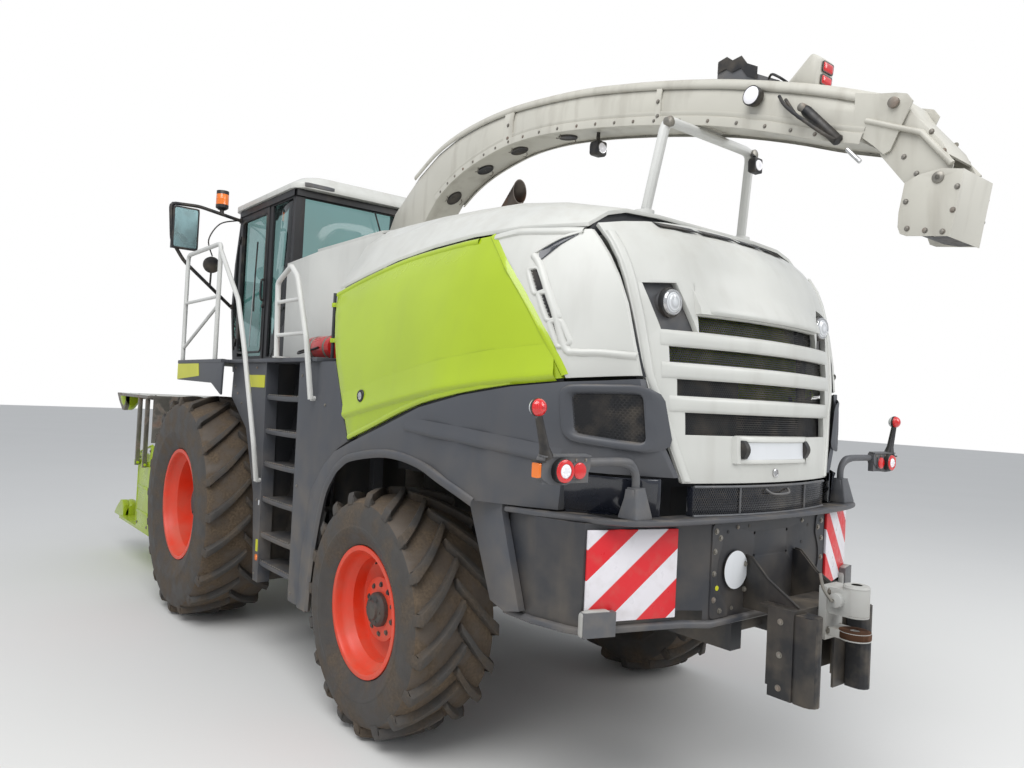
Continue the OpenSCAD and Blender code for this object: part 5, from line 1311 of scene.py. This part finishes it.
def make_rear_lamps():
    """Round lamp in its red ring, reflector, amber lamp, marker arm and its pedestal, on both sides."""
    shape = Shape("rear_lamp_parts", "machine", GREY_PLASTIC, BLACK_PLASTIC, RED_LENS, WHITE_LED, AMBER_LENS,
                  STEEL, LAMP_GLASS)
    lamp = at(-5.02, 1.464, 1.802)
    shape.use(BLACK_PLASTIC).turned(lamp, BACK, [(0.054, -0.03), (0.054, -0.002), (0.05, 0.002)], 40)
    shape.use(RED_LENS).turned(lamp, BACK, [(0.051, 0), (0.049, 0.006), (0.038, 0.01), (0.031, 0.008)], 40)
    shape.use(WHITE_LED).turned(lamp, BACK, [(0.032, 0.004), (0.028, 0.009), (0.014, 0.012), (0, 0.0125)], 40)
    for a in turns(6):
        led = lamp + Vector((-0.009, math.cos(a) * 0.018, math.sin(a) * 0.018))
        shape.turned(led, BACK, [(0.006, 0), (0.005, 0.004), (0, 0.006)], 10)
    # The reflector gets the glowing red lens: its glow is painted light.
    shape.use(RED_LENS)
    shape.turned(at(-5.001, 1.36, 1.8), BACK, [(0.037, 0), (0.036, 0.005), (0.03, 0.007), (0, 0.007)])
    shape.use(GREY_PLASTIC)
    plate = [(1.284, 1.866), (1.568, 1.866), (1.574, 1.77), (1.52, 1.742), (1.43, 1.738),
             (1.33, 1.768), (1.284, 1.8)]
    shape.solid(rings(end_on, rounded(plate, 0.02, 0.1), -4.948, -4.99))
    shape.prism([at(-4.955, 1.286, 1.872), at(-4.955, 1.566, 1.872), at(-4.996, 1.566, 1.866),
                 at(-4.996, 1.286, 1.866)], (0, 0, -0.006))
    shape.use(STEEL).bolts([at(-4.99, y, 1.846) for y in (1.315, 1.375, 1.435)], BACK, 0.006)
    shape.use(AMBER_LENS)
    shape.solid(rings(side_on, rounded(box((-4.99, 1.772), (-4.944, 1.836)), 0.008, 0.1),
                      1.574, 1.584, 1.588))
    shape.use(BLACK_PLASTIC).block(at(-4.995, 1.552, 1.838), at(-4.94, 1.592, 1.846))
    low, high = at(-4.968, 1.53, 1.858), at(-4.969, 1.589, 2.048)
    shape.turned(low, high - low,
                 [(0.034, -0.004), (0.03, 0.012), (0.021, 0.05), (0.016, 0.19), (0.02, 0.205)], 20, True)
    ball = at(-4.969, 1.591, 2.071)
    shape.turned(ball, BACK, [(0.0395, -0.006), (0.0405, 0), (0.0395, 0.006)])
    dome = [(0.0385 * math.cos(a), 0.004 + 0.034 * math.sin(a)) for a in span(0, math.pi / 2, 7)]
    shape.use(RED_LENS).turned(ball, BACK, dome)
    shape.use(LAMP_GLASS).turned(ball, -BACK, dome)
    shape.use(GREY_PLASTIC)
    foot = rounded(box((-5.018, 0.884), (-4.898, 1)), 0.01, 0.2)
    head = rounded(box((-4.988, 0.905), (-4.925, 0.975)), 0.01, 0.2)
    shape.solid(rings(flat_on, foot, 1.562, 1.572) + rings(flat_on, head, 1.7)
                + [[at(p.x * 0.998 - 0.01, p.y, 1.707) for p in head]])
    shape.tube(curve([at(-4.952, 0.94, 1.7), at(-4.952, 0.942, 1.76), at(-4.954, 0.975, 1.812),
                      at(-4.958, 1.04, 1.832), at(-4.958, 1.29, 1.832)], 5), 0.0195, 14)
    shape.mirror().done(angle=40)


def make_corner_castings():
    """Grey corner castings with a red reflector under the warning panels."""
    shape = Shape("corner_castings", "machine", CAST, RED_LENS, BLACK_PLASTIC)
    outline = [(0.392, 1.012), (0.578, 1.012), (0.578, 1.128), (0.54, 1.138), (0.43, 1.138), (0.392, 1.095)]
    shape.solid(rings(on_facet, rounded(outline, 0.022, 0.1), 0.017, 0.042, (0.048, 0.006)))
    axis = Vector((FACET_OUT.x, FACET_OUT.y, 0))
    shape.bolts([on_facet(0.405, 1.028, 0.046), on_facet(0.565, 1.115, 0.046)], axis, 0.005)
    spot = on_facet(0.47, 1.076, 0.047)
    shape.use(BLACK_PLASTIC).turned(spot, axis, [(0.04, -0.004), (0.04, 0.003), (0.035, 0.004)], 28)
    # The red reflector's faint glow is painted light.
    shape.use(RED_LENS).turned(spot, axis, [(0.036, 0), (0.035, 0.006), (0.028, 0.008), (0, 0.008)], 28)
    shape.mirror().done(soft=0.003, angle=40)


def plan_strip(shape, plan, section):
    """A moulding along a plan outline and its mirror image: section of (outwards, height)."""
    path = [Vector(p) for p in plan] + [Vector((x, -y)) for x, y in reversed(plan) if y > 0]
    for i, p in enumerate(path):
        way = (path[min(i + 1, len(path) - 1)] - path[max(i - 1, 0)]).normalized()
        out = Vector((way.y, -way.x))
        if out.dot(p - Vector((-4, 0))) < 0:
            out = -out
        shape.row(at(p.x + out.x * a, p.y + out.y * a, z) for a, z in section)
    shape.sheet()


def make_tail_parts():
    """Side plates with their bolts, the low lip, the belt's rolled edge and the blank white disc."""
    shape = Shape("tail_parts", "machine", TAIL_GREY, STEEL, PLATE_WHITE, BLACK_PLASTIC, YELLOW, ANTHRACITE)
    outline = [(0.516, 1.528), (0.44, 1.528), (0.428, 1.43), (0.468, 1.34), (0.47, 1.24), (0.42, 1.16),
               (0.372, 1.1), (0.366, 1.056), (0.516, 1.056)]
    shape.solid(rings(end_on, rounded(outline, 0.03, 0.1), -5.084, -5.093))
    shape.use(STEEL)
    spots = ((0.486, 1.49), (0.492, 1.39), (0.452, 1.455), (0.49, 1.15), (0.44, 1.09), (0.494, 1.28))
    shape.bolts([at(-5.093, y, z) for y, z in spots], BACK, 0.011)
    shape.bolts([at(-5.086, y, z) for y, z in ((0.3, 1.5), (0.33, 1.09), (0.27, 1.28))], BACK, 0.008)
    shape.bolts([at(-5.1, 0.246, z) for z in (1.31, 1.18)], LEFT, 0.01)
    shape.mirror().use(ANTHRACITE)
    plan_strip(shape, TAIL_PLAN,
               [(-0.002, 1.052), (0.014, 1.048), (0.022, 1.038), (0.022, 1.024), (0.012, 1.016),
                (-0.02, 1.014)])
    plan_strip(shape, curve(BELT_PLAN, 4), [(-0.04, 1.5605), (-0.006, 1.5615), (0.004, 1.557), (0.007, 1.548),
                                            (0.004, 1.538), (-0.004, 1.533), (-0.03, 1.532)])
    shape.use(BLACK_PLASTIC)
    for y, z in ((0.38, 1.48), (0.2, 1.5), (-0.36, 1.47), (-0.3, 1.38)):
        shape.turned(at(-5.086, y, z), BACK, [(0.009, 0), (0.009, 0.001), (0, 0.001)], 16)
    disc = at(-5.0945, 0.318, 1.285)
    shape.turned(disc, BACK, [(0.101, 0), (0.101, 0.003), (0.097, 0.0035)], 48)
    shape.use(PLATE_WHITE).turned(disc, BACK, [(0.098, 0.001), (0.097, 0.0035), (0, 0.004)], 48)
    shape.use(YELLOW).turned(at(-5.094, 0.469, 1.207), BACK, [(0.013, 0), (0.012, 0.003), (0, 0.003)], 16)
    shape.done(angle=40)


def make_hitch_parts():
    """Rubber buffers with worn ribs, weld beads, the coupling's bolts, its lever and the rusty jaw."""
    shape = Shape("hitch_parts", "machine", HOSE, STEEL, CAST, RUSTY, BLACK_PAINT)
    rim = []
    for k, a in enumerate(span(math.pi / 2, math.pi * 1.5, 24)):
        r = 0.047 + 0.0015 * (k % 4 < 2)
        rim.append((-5.48 + math.cos(a) * r, 0.24 + math.sin(a) * r))
    rim = [(-5.425, rim[0][1])] + rim + [(-5.425, rim[-1][1])]
    shape.grid([[at(x, y, z) for x, y in rim] for z in (0.706, 0.712, 1.124, 1.13)])
    for z in (0.706, 1.13):
        shape.grid([[at(x, y, z) for x, y in rim], [at(-5.45, 0.24, z)] * len(rim)])
    shape.use(STEEL).bolts([at(-5.35, 0.3, z) for z in (0.76, 0.92, 1.08)], LEFT, 0.011)
    weld = ((-5.095, 1.352), (-5.13, 1.348), (-5.23, 1.254), (-5.405, 1.15))
    shape.use(BLACK_PAINT).tube([at(x, 0.2295, z) for x, z in weld], 0.006, 8)
    shape.use(STEEL).bolts([at(-5.462, 0.06, z) for z in (1.035, 1.225)], BACK, 0.013)
    shape.mirror().use(CAST)
    shape.turned(at(-5.57, 0, 1.262), UP,
                 [(0.03, -0.01), (0.06, -0.01), (0.064, 0), (0.058, 0.01), (0.034, 0.014), (0.026, 0.012)])
    shape.use(RUSTY)
    shape.turned(at(-5.57, 0, 1.0505), UP,
                 [(0.0215, -0.03), (0.0225, 0.001), (0.03, 0.004), (0.06, 0.004), (0.074, 0.001),
                  (0.0765, -0.008), (0.0765, -0.032), (0.072, -0.04)], 40)
    shape.turned(at(-5.57, 0, 1.12), -UP,
                 [(0.0215, -0.03), (0.026, 0.0005), (0.058, 0.001), (0.0625, -0.01)], 40)
    shape.use(STEEL)
    shape.hose([(-5.5, 0.095, 1.195), (-5.5, 0.115, 1.2), (-5.47, 0.13, 1.25), (-5.45, 0.13, 1.32)], 0.008, 5)
    shape.done(angle=40)


make_rear_lamps()
make_corner_castings()
make_tail_parts()
make_hitch_parts()


# Ladder, deck and cab
STEP_Z = [0.73, 0.95, 1.23, 1.51, 1.77, 2.04]
STEP_LIP = [(-0.06, 0.003), (-0.006, 0.004), (0.006, 0.002), (0.012, -0.006), (0.01, -0.02), (0.004, -0.032),
            (-0.01, -0.036)]
DECK_Z = 2.298
BODY_PLATE_Y = 1.4005
DECK_PLATE_Y = 1.5005


def make_steps(shape):
    """Closed back of the ladder, its rolled step lips with teeth, and the chequered lowest plate."""
    shape.use(DARK_STEEL)
    shape.grid([[at(-1.4, 1.302, z), at(-1.402, 1.1, z), at(-1.404, 1.085, z)] for z in (0.565, 1.4, DECK_Z)])
    for low, high in zip(STEP_Z, STEP_Z[1:] + [DECK_Z]):
        riser = ((1.175, low + 0.002), (1.165, low + 0.022), (1.125, high - 0.044), (1.112, high - 0.034))
        shape.grid([[at(x, y, z) for y, z in riser] for x in (-1.404, -1.72, -2.036)])
    for z in STEP_Z:
        for i, x in enumerate(span(-1.406, -2.036, 12)):
            sag = 0.004 * math.sin(math.pi * i / 12)
            shape.row(at(x, 1.378 + a, z - sag + b) for a, b in STEP_LIP)
        shape.use(ANTHRACITE).sheet().use(STEEL)
        for x in span(-1.43, -2.018, 14):
            tooth = ((x, z + 0.003), (x - 0.026, z + 0.003), (x - 0.022, z + 0.01), (x - 0.004, z + 0.01))
            shape.prism([at(x, 1.384, z) for x, z in tooth], (0, -0.004, 0))
    for i in range(14):
        for j in range(5):
            knob = at(-1.43 - 0.043 * i, 1.02 + 0.056 * j + 0.028 * (i % 2), 0.6405)
            shape.turned(knob, UP, [(0.013, 0), (0.011, 0.004), (0, 0.0045)], 8)


def make_side_plates(shape):
    """Blank yellow and white plates, the amber reflector, the deck's rolled edge and the bolts."""
    body, deck = BODY_PLATE_Y, DECK_PLATE_Y
    shape.use(YELLOW)
    shape.solid(rings(side_on, rounded(box((-1.416, 0.8), (-1.372, 0.895)), 0.006, 0.2), body, body + 0.002))
    shape.solid(rings(side_on, rounded(box((-1.38, 2.1), (-1.02, 2.2)), 0.008, 0.3), body, body + 0.003))
    corner = [(-0.01, 2.18), (0.56, 2.15), (0.676, 2.145), (0.676, 2.296), (0.02, 2.296)]
    shape.solid(rings(side_on, rounded(corner, 0.01, 0.2), deck, deck + 0.003))
    # The amber reflector's faint glow is painted light.
    shape.use(AMBER_LENS)
    shape.turned(at(-1.394, body, 0.752), LEFT, [(0.026, 0), (0.025, 0.004), (0.018, 0.006), (0, 0.006)], 24)
    mark = [(-1.38, 1.165), (-1.4, 1.165), (-1.402, 1.205), (-1.382, 1.205)]
    shape.use(PLATE_WHITE).solid(rings(side_on, rounded(mark, 0.004, 0.2), body, body + 0.0015))
    edge = ((1.46, 2.331), (1.496, 2.333), (1.504, 2.328), (1.504, 2.304), (1.498, 2.299))
    shape.use(ANTHRACITE).grid([[at(x, y, z) for y, z in edge] for x in (0.68, -0.62)])
    spots = ((-0.7, 2.1), (-0.78, 2.04), (-0.88, 1.96), (-0.7, 2.26), (-1.2, 2.26), (-1.34, 1.2),
             (-1.36, 0.62), (-2.08, 0.62), (-2.1, 1.4), (-2.1, 2.2), (-2.5, 2))
    shape.use(STEEL).bolts([at(x, body, z) for x, z in spots], LEFT, 0.008)


def make_ladder_parts():
    """Steps and small plates of the ladder and the deck, on both sides."""
    shape = Shape("ladder_parts", "machine", ANTHRACITE, STEEL, DARK_STEEL, YELLOW, AMBER_LENS, PLATE_WHITE)
    make_steps(shape)
    make_side_plates(shape)
    shape.mirror().done(angle=40)


def make_mirror_parts(shape):
    """Case, glass and stay of the mirror, with the dark band under the roof."""
    band = ((0.902, 3.948), (0.918, 3.944), (0.918, 3.885), (0.902, 3.88))
    shape.use(BLACK_PAINT).grid([[at(x, y, z) for y, z in band] for x in (-0.6, 0, 0.6, 0.815)])
    case = rounded(box((1.318, 3.476), (1.579, 3.909)), 0.035, 0.2)
    shape.use(BLACK_PLASTIC)
    shape.grid(rings(end_on, case, (0.942, 0.03), (0.934, 0.008), 0.915, 0.872, (0.866, 0.004),
                     (0.866, 0.016), (0.871, 0.018)), closed=True)
    shape.hose([(0.86, 0.93, 3.86), (0.9, 1.1, 3.8), (0.92, 1.2, 3.62), (0.9, 1.16, 3.45)], 0.007)
    face = rounded(box((1.336, 3.494), (1.561, 3.891)), 0.022, 0.2)
    shape.use(MIRROR).solid(rings(end_on, face, 0.8705, 0.8675))


def make_door_parts(shape):
    """Handle, lock, seal and wiper of the cab door."""
    shape.use(BLACK_PLASTIC)
    shape.tube(curve([at(0.06, y, z) for y, z in ((0.912, 2.96), (0.935, 2.97), (0.94, 3.05), (0.935, 3.15),
                                                  (0.912, 3.16))], 5), 0.011)
    shape.turned(at(0.06, 0.908, 2.9), LEFT, [(0.02, 0), (0.02, 0.012), (0.014, 0.016), (0, 0.016)], 20)
    seal = rounded(box((0.075, 2.455), (0.728, 3.822)), 0.06, 0.4)
    shape.grid(rings(side_on, seal, (0.9075, -0.016), (0.9135, -0.014), (0.9145, -0.002), (0.9095, 0.006),
                     (0.8875, 0.007)), closed=True)
    shape.tube([at(0.285, 0.918, 2.86), at(0.28, 0.922, 3.2), at(0.265, 0.918, 3.56)], 0.008, 8)
    shape.tube([at(-0.626, 0.1, 3.87), at(-0.632, 0, 3.6), at(-0.628, -0.15, 3.3)], 0.008, 8)
    shape.use(CHROME).tube([at(0.34, 0.925, 2.5), at(0.3, 0.928, 2.9), at(0.28, 0.925, 3.2)], 0.005, 8)


def make_roof_parts(shape):
    """Grey strip on the roof's rear edge, the dark band below it and the amber beacon."""
    for i, y in enumerate(span(0.86, 0.56, 8)):
        fade = min(1.0, i / 1.2, (8 - i) / 1.2)
        shape.row(at(-0.689 - a, y, 3.992 + b) for a, b in ((-0.002, -0.034), (0.007 * fade, -0.026),
                                                            (0.008 * fade, 0.004), (-0.014, 0.016 * fade)))
    shape.use(GREY_PLASTIC).sheet()
    band = ((-0.602, 3.948), (-0.622, 3.944), (-0.622, 3.885), (-0.602, 3.88))
    shape.use(BLACK_PAINT).grid([[at(x, y, z) for x, z in band] for y in (-0.9, 0, 0.9)])
    beacon = at(0.86, 1.1, 3.975)
    shape.use(BLACK_PLASTIC).turned(beacon, UP,
                                    [(0.04, -0.03), (0.064, -0.012), (0.065, 0.018), (0.06, 0.024)])
    shape.use(AMBER_LENS).turned(beacon, UP, [
        (0.0635, 0.016), (0.0635, 0.075), (0.0645, 0.08), (0.0635, 0.085), (0.0625, 0.125), (0.056, 0.155),
        (0.035, 0.168), (0, 0.17)], 40)


def make_cab_parts():
    """Small parts on the cab's roof, door and mirrors."""
    shape = Shape("cab_parts", "machine", GREY_PLASTIC, BLACK_PLASTIC, BLACK_PAINT, CHROME,
                  AMBER_LENS, MIRROR)
    make_mirror_parts(shape)
    shape.mirror()
    make_door_parts(shape)
    make_roof_parts(shape)
    shape.done(angle=40)


def make_extinguisher_parts():
    """Neck, handle, strap and hose of the extinguisher."""
    shape = Shape("extinguisher_parts", "machine", BLACK_PLASTIC, CHROME, STEEL)
    shape.turned(at(-1.67, 1.15, 2.425), -BACK, [(0.03, -0.01), (0.026, 0.02), (0.02, 0.05)], 20, True)
    shape.solid(rings(side_on, [(-1.655, 2.44), (-1.6, 2.475), (-1.59, 2.462), (-1.64, 2.425)], 1.135, 1.165))
    shape.hose([(-1.62, 1.16, 2.42), (-1.58, 1.21, 2.4), (-1.66, 1.252, 2.38), (-1.85, 1.252, 2.4),
                (-2, 1.247, 2.42)], 0.008)
    shape.use(STEEL)
    for x in (-2.08, -1.85):
        shape.turned(at(x, 1.15, 2.425), -BACK,
                     [(0.0905, 0), (0.0925, 0.002), (0.0925, 0.028), (0.0905, 0.03)], 40)
    shape.use(CHROME).turned(at(-1.665, 1.15, 2.455), UP, [(0.014, 0), (0.014, 0.012), (0, 0.013)], 16)
    shape.done(angle=40)


def make_door_gap_shade():
    """Dark sheets behind the gap under the side doors and behind the seams: painted shade in the gaps."""
    shape = Shape("door_gap_shade", "machine", DARK_STEEL)
    seam = curve([(-2.95, 1.8), (-3.3, 1.91), (-3.738, 2.04), (-4.2, 2.135), (-4.62, 2.205)], 5)
    shape.grid([[on_side(p.x, p.y + a, -0.024) for a in (-0.05, 0, 0.05)] for p in seam])
    shape.mirror().done()


make_ladder_parts()
make_cab_parts()
make_extinguisher_parts()
make_door_gap_shade()


# Header, wheel houses and engine bay

# Crop divider: length, half width and rise of its sections
NOSE = [(2.99, 0.085, 0.15), (3.03, 0.105, 0.195), (3.08, 0.112, 0.212), (3.15, 0.104, 0.203),
        (3.25, 0.078, 0.142), (3.34, 0.048, 0.088), (3.4, 0.024, 0.042), (3.434, 0.008, 0.014)]
HEADER_SIDE_Y = 1.4505
WING_TOP_Z = 1.9505


def nose(shape, y, z, turn=1):
    """A pointed crop divider: half round sections from the pan to its tip."""
    for x, half, rise in NOSE:
        shape.row(at(x, y + half * math.cos(a), z + turn * max(0.0, rise * math.sin(a)))
                  for a in span(0, math.pi, 16))
    shape.sheet(caps=True)


def make_header_parts():
    """Dividers, ribs, rolled edges and bolts of the header's middle."""
    shape = Shape("header_parts", "header", LIME, STEEL, DARK_STEEL)
    nose(shape, 1.3, 0.4205)
    shape.tube([at(1.68, 1.445, 1.405), at(2.195, 1.445, 1.3), at(2.205, 1.445, 0.47)], 0.012)
    for z in (0.62, 0.9, 1.18):
        shape.solid(rings(side_on, [(1.7, z), (2.18, z), (2.17, z + 0.03), (1.71, z + 0.03)], HEADER_SIDE_Y,
                          HEADER_SIDE_Y + 0.006))
    spots = ((1.72, 1.34), (1.72, 0.5), (2.15, 0.5), (2.15, 1.24), (1.94, 1.3))
    shape.use(STEEL).bolts([at(x, HEADER_SIDE_Y, z) for x, z in spots], LEFT, 0.012)
    shape.mirror().use(DARK_STEEL)
    for y in (-1.2, -0.8, -0.5, 0.5, 0.8, 1.2):
        shape.prism([at(1.615, y - 0.02, 0.46), at(1.6, y - 0.015, 0.5), at(1.6, y - 0.015, 1.34),
                     at(1.615, y - 0.02, 1.38)], (0, 0.035, 0))
    shape.tube([at(1.6, -1.4, 1.365), at(1.6, 1.4, 1.365)], 0.022, 12)
    nose(shape.use(LIME), 0, 0.4205)
    shape.done(soft=0.003, angle=40)


def make_wing_parts(name, side):
    """Dividers, ribs, rolled edges and bolts of a folded wing."""
    shape = Shape("wing_parts_" + name, "wing_" + name, OFFWHITE, LIME, STEEL)
    top = WING_TOP_Z
    for x in span(1.8, 2.84, 4):
        rib = ((x, top), (x + 0.045, top), (x + 0.036, top + 0.0075), (x + 0.009, top + 0.0075))
        shape.prism([at(x, 0.09, z) for x, z in rib], (0, 1.34, 0))
    shape.tube([at(x, 0.065, 1.945) for x in (1.72, 2.98)], 0.01, 8)
    shape.tube([at(x, 1.495, 1.95) for x in (1.72, 2.98)], 0.008, 8)
    shape.use(STEEL).bolts([at(x, y, top) for x in (1.76, 2.1, 2.5, 2.9) for y in (0.14, 1.42)], UP, 0.01)
    for y in (0.1, 1.38):
        nose(shape.use(LIME), y, top - 0.001, -1)
    shape.moved_to(side).done(soft=0.002, angle=40)


def make_wheel_houses():
    """Dark walls over the rear wheels and in front of them, inside the fenders."""
    shape = Shape("wheel_houses", "machine", DARK_STEEL)
    shape.grid([[at(x, 0.8, 1.56), at(x, 0.79, 1.75), at(x, 0.8, 1.94)]
                for x in (-4.42, -3.95, -3.48, -2.98, -2.5)])
    shape.grid([[at(x, 0.62, 1.02), at(x, 0.61, 1.35), at(x, 0.62, 1.75)] for x in (-2.3, -1.7, -1.1, -0.6)])
    shape.mirror().done()


def make_engine_parts():
    """Ribbed top and housing lines on the plain engine block."""
    shape = Shape("engine_parts", "machine", DARK_STEEL, STEEL)
    shape.use(STEEL).bolts([at(x, 0.481, 2.2) for x in span(-4.35, -3.69, 3)], LEFT, 0.018)
    shape.tube(curve([at(-4.3, 0.485, 1.9), at(-4.1, 0.5, 2.05), at(-3.8, 0.5, 2),
                      at(-3.6, 0.485, 1.8)], 5), 0.022)
    shape.mirror().use(DARK_STEEL)
    for x in span(-4.4, -3.65, 5):
        shape.block(at(x, -0.4, 2.351), at(x + 0.06, 0.4, 2.375))
    shape.done(soft=0.003, angle=40)


def make_hoop_lamp():
    """Work lamp and two discs on the spout's rest, with its foot plates."""
    shape = Shape("hoop_lamp", "machine", BLACK_PLASTIC, WHITE_LED, STEEL, RAIL_WHITE)
    shape.use(RAIL_WHITE).turned(at(-4.481, 0.455, 3.192), UP,
                                 [(0.06, -0.02), (0.06, 0.01), (0.034, 0.018)], 28)
    shape.use(STEEL)
    shape.turned(at(-4.574, 0.401, 3.7), BACK, [(0.03, 0), (0.03, 0.034), (0.024, 0.038), (0, 0.038)], 24)
    shape.mirror().use(BLACK_PLASTIC)
    case = rounded(box((-0.385, 3.56), (-0.305, 3.65)), 0.014, 0.2)
    shape.solid(rings(end_on, case, (-4.615, 0.014), -4.632, -4.672, (-4.676, 0.006)))
    shape.tube([at(-4.602, -0.375, 3.69), at(-4.64, -0.345, 3.66)], 0.012, 8)
    shape.use(WHITE_LED).turned(at(-4.675, -0.345, 3.605), BACK, [(0.034, 0), (0.03, 0.005), (0, 0.007)], 24)
    shape.done(angle=40)


make_header_parts()
make_wing_parts("left", 1)
make_wing_parts("right", -1)
make_wheel_houses()
make_engine_parts()
make_hoop_lamp()


# Floor, world and lamps
FLOOR_COLOUR = srgb(226, 225, 222)
FLOOR_HALF_W = 60.0


def make_floor():
    """A plain pale floor, far wider than the machine."""
    mesh = bpy.data.meshes.new("floor")
    half = FLOOR_HALF_W
    mesh.from_pydata([(-half, -half, 0), (half, -half, 0), (half, half, 0), (-half, half, 0)],
                     [], [(0, 1, 2, 3)])
    floor = bpy.data.objects.new("floor", mesh)
    bpy.context.scene.collection.objects.link(floor)
    f = Finish("floor", FLOOR_COLOUR, 0.85)
    f.set("Base Color", f.mix(f.noise(0.4, 4), shade(FLOOR_COLOUR, 0.97), shade(FLOOR_COLOUR, 1.02)))
    mesh.materials.append(f.material)


def make_world():
    """An even pale sky, brighter to the camera than to the object."""
    world = bpy.data.worlds.new("world")
    world.use_nodes = True
    bpy.context.scene.world = world
    tree = world.node_tree
    sky = tree.nodes["Background"]
    sky.inputs["Color"].default_value = srgb(226, 230, 236)
    sky.inputs["Strength"].default_value = 0.78
    plain = tree.nodes.new("ShaderNodeBackground")
    plain.inputs["Color"].default_value = (1.0, 1.0, 1.0, 1.0)
    plain.inputs["Strength"].default_value = 1.0
    path = tree.nodes.new("ShaderNodeLightPath")
    mix = tree.nodes.new("ShaderNodeMixShader")
    tree.links.new(path.outputs["Is Camera Ray"], mix.inputs["Fac"])
    tree.links.new(sky.outputs["Background"], mix.inputs[1])
    tree.links.new(plain.outputs["Background"], mix.inputs[2])
    tree.links.new(mix.outputs["Shader"], tree.nodes["World Output"].inputs["Surface"])


def make_lamp(name, place, target, size, power):
    """A round lamp that shines from a place to a target."""
    data = bpy.data.lights.new(name, "AREA")
    data.shape = "DISK"
    data.size = size
    data.energy = power
    lamp = bpy.data.objects.new(name, data)
    lamp.location = place
    lamp.rotation_euler = (Vector(target) - Vector(place)).to_track_quat("-Z", "Y").to_euler()
    bpy.context.scene.collection.objects.link(lamp)


make_floor()
make_world()
make_lamp("sky_lamp", (-5.0, 6.0, 11.0), (0.0, 0.0, 1.5), 9.0, 900)
make_lamp("side_lamp", (-10.0, -4.0, 7.0), (-2.0, 0.0, 1.5), 6.0, 350)
bpy.context.scene.view_settings.view_transform = "Standard"
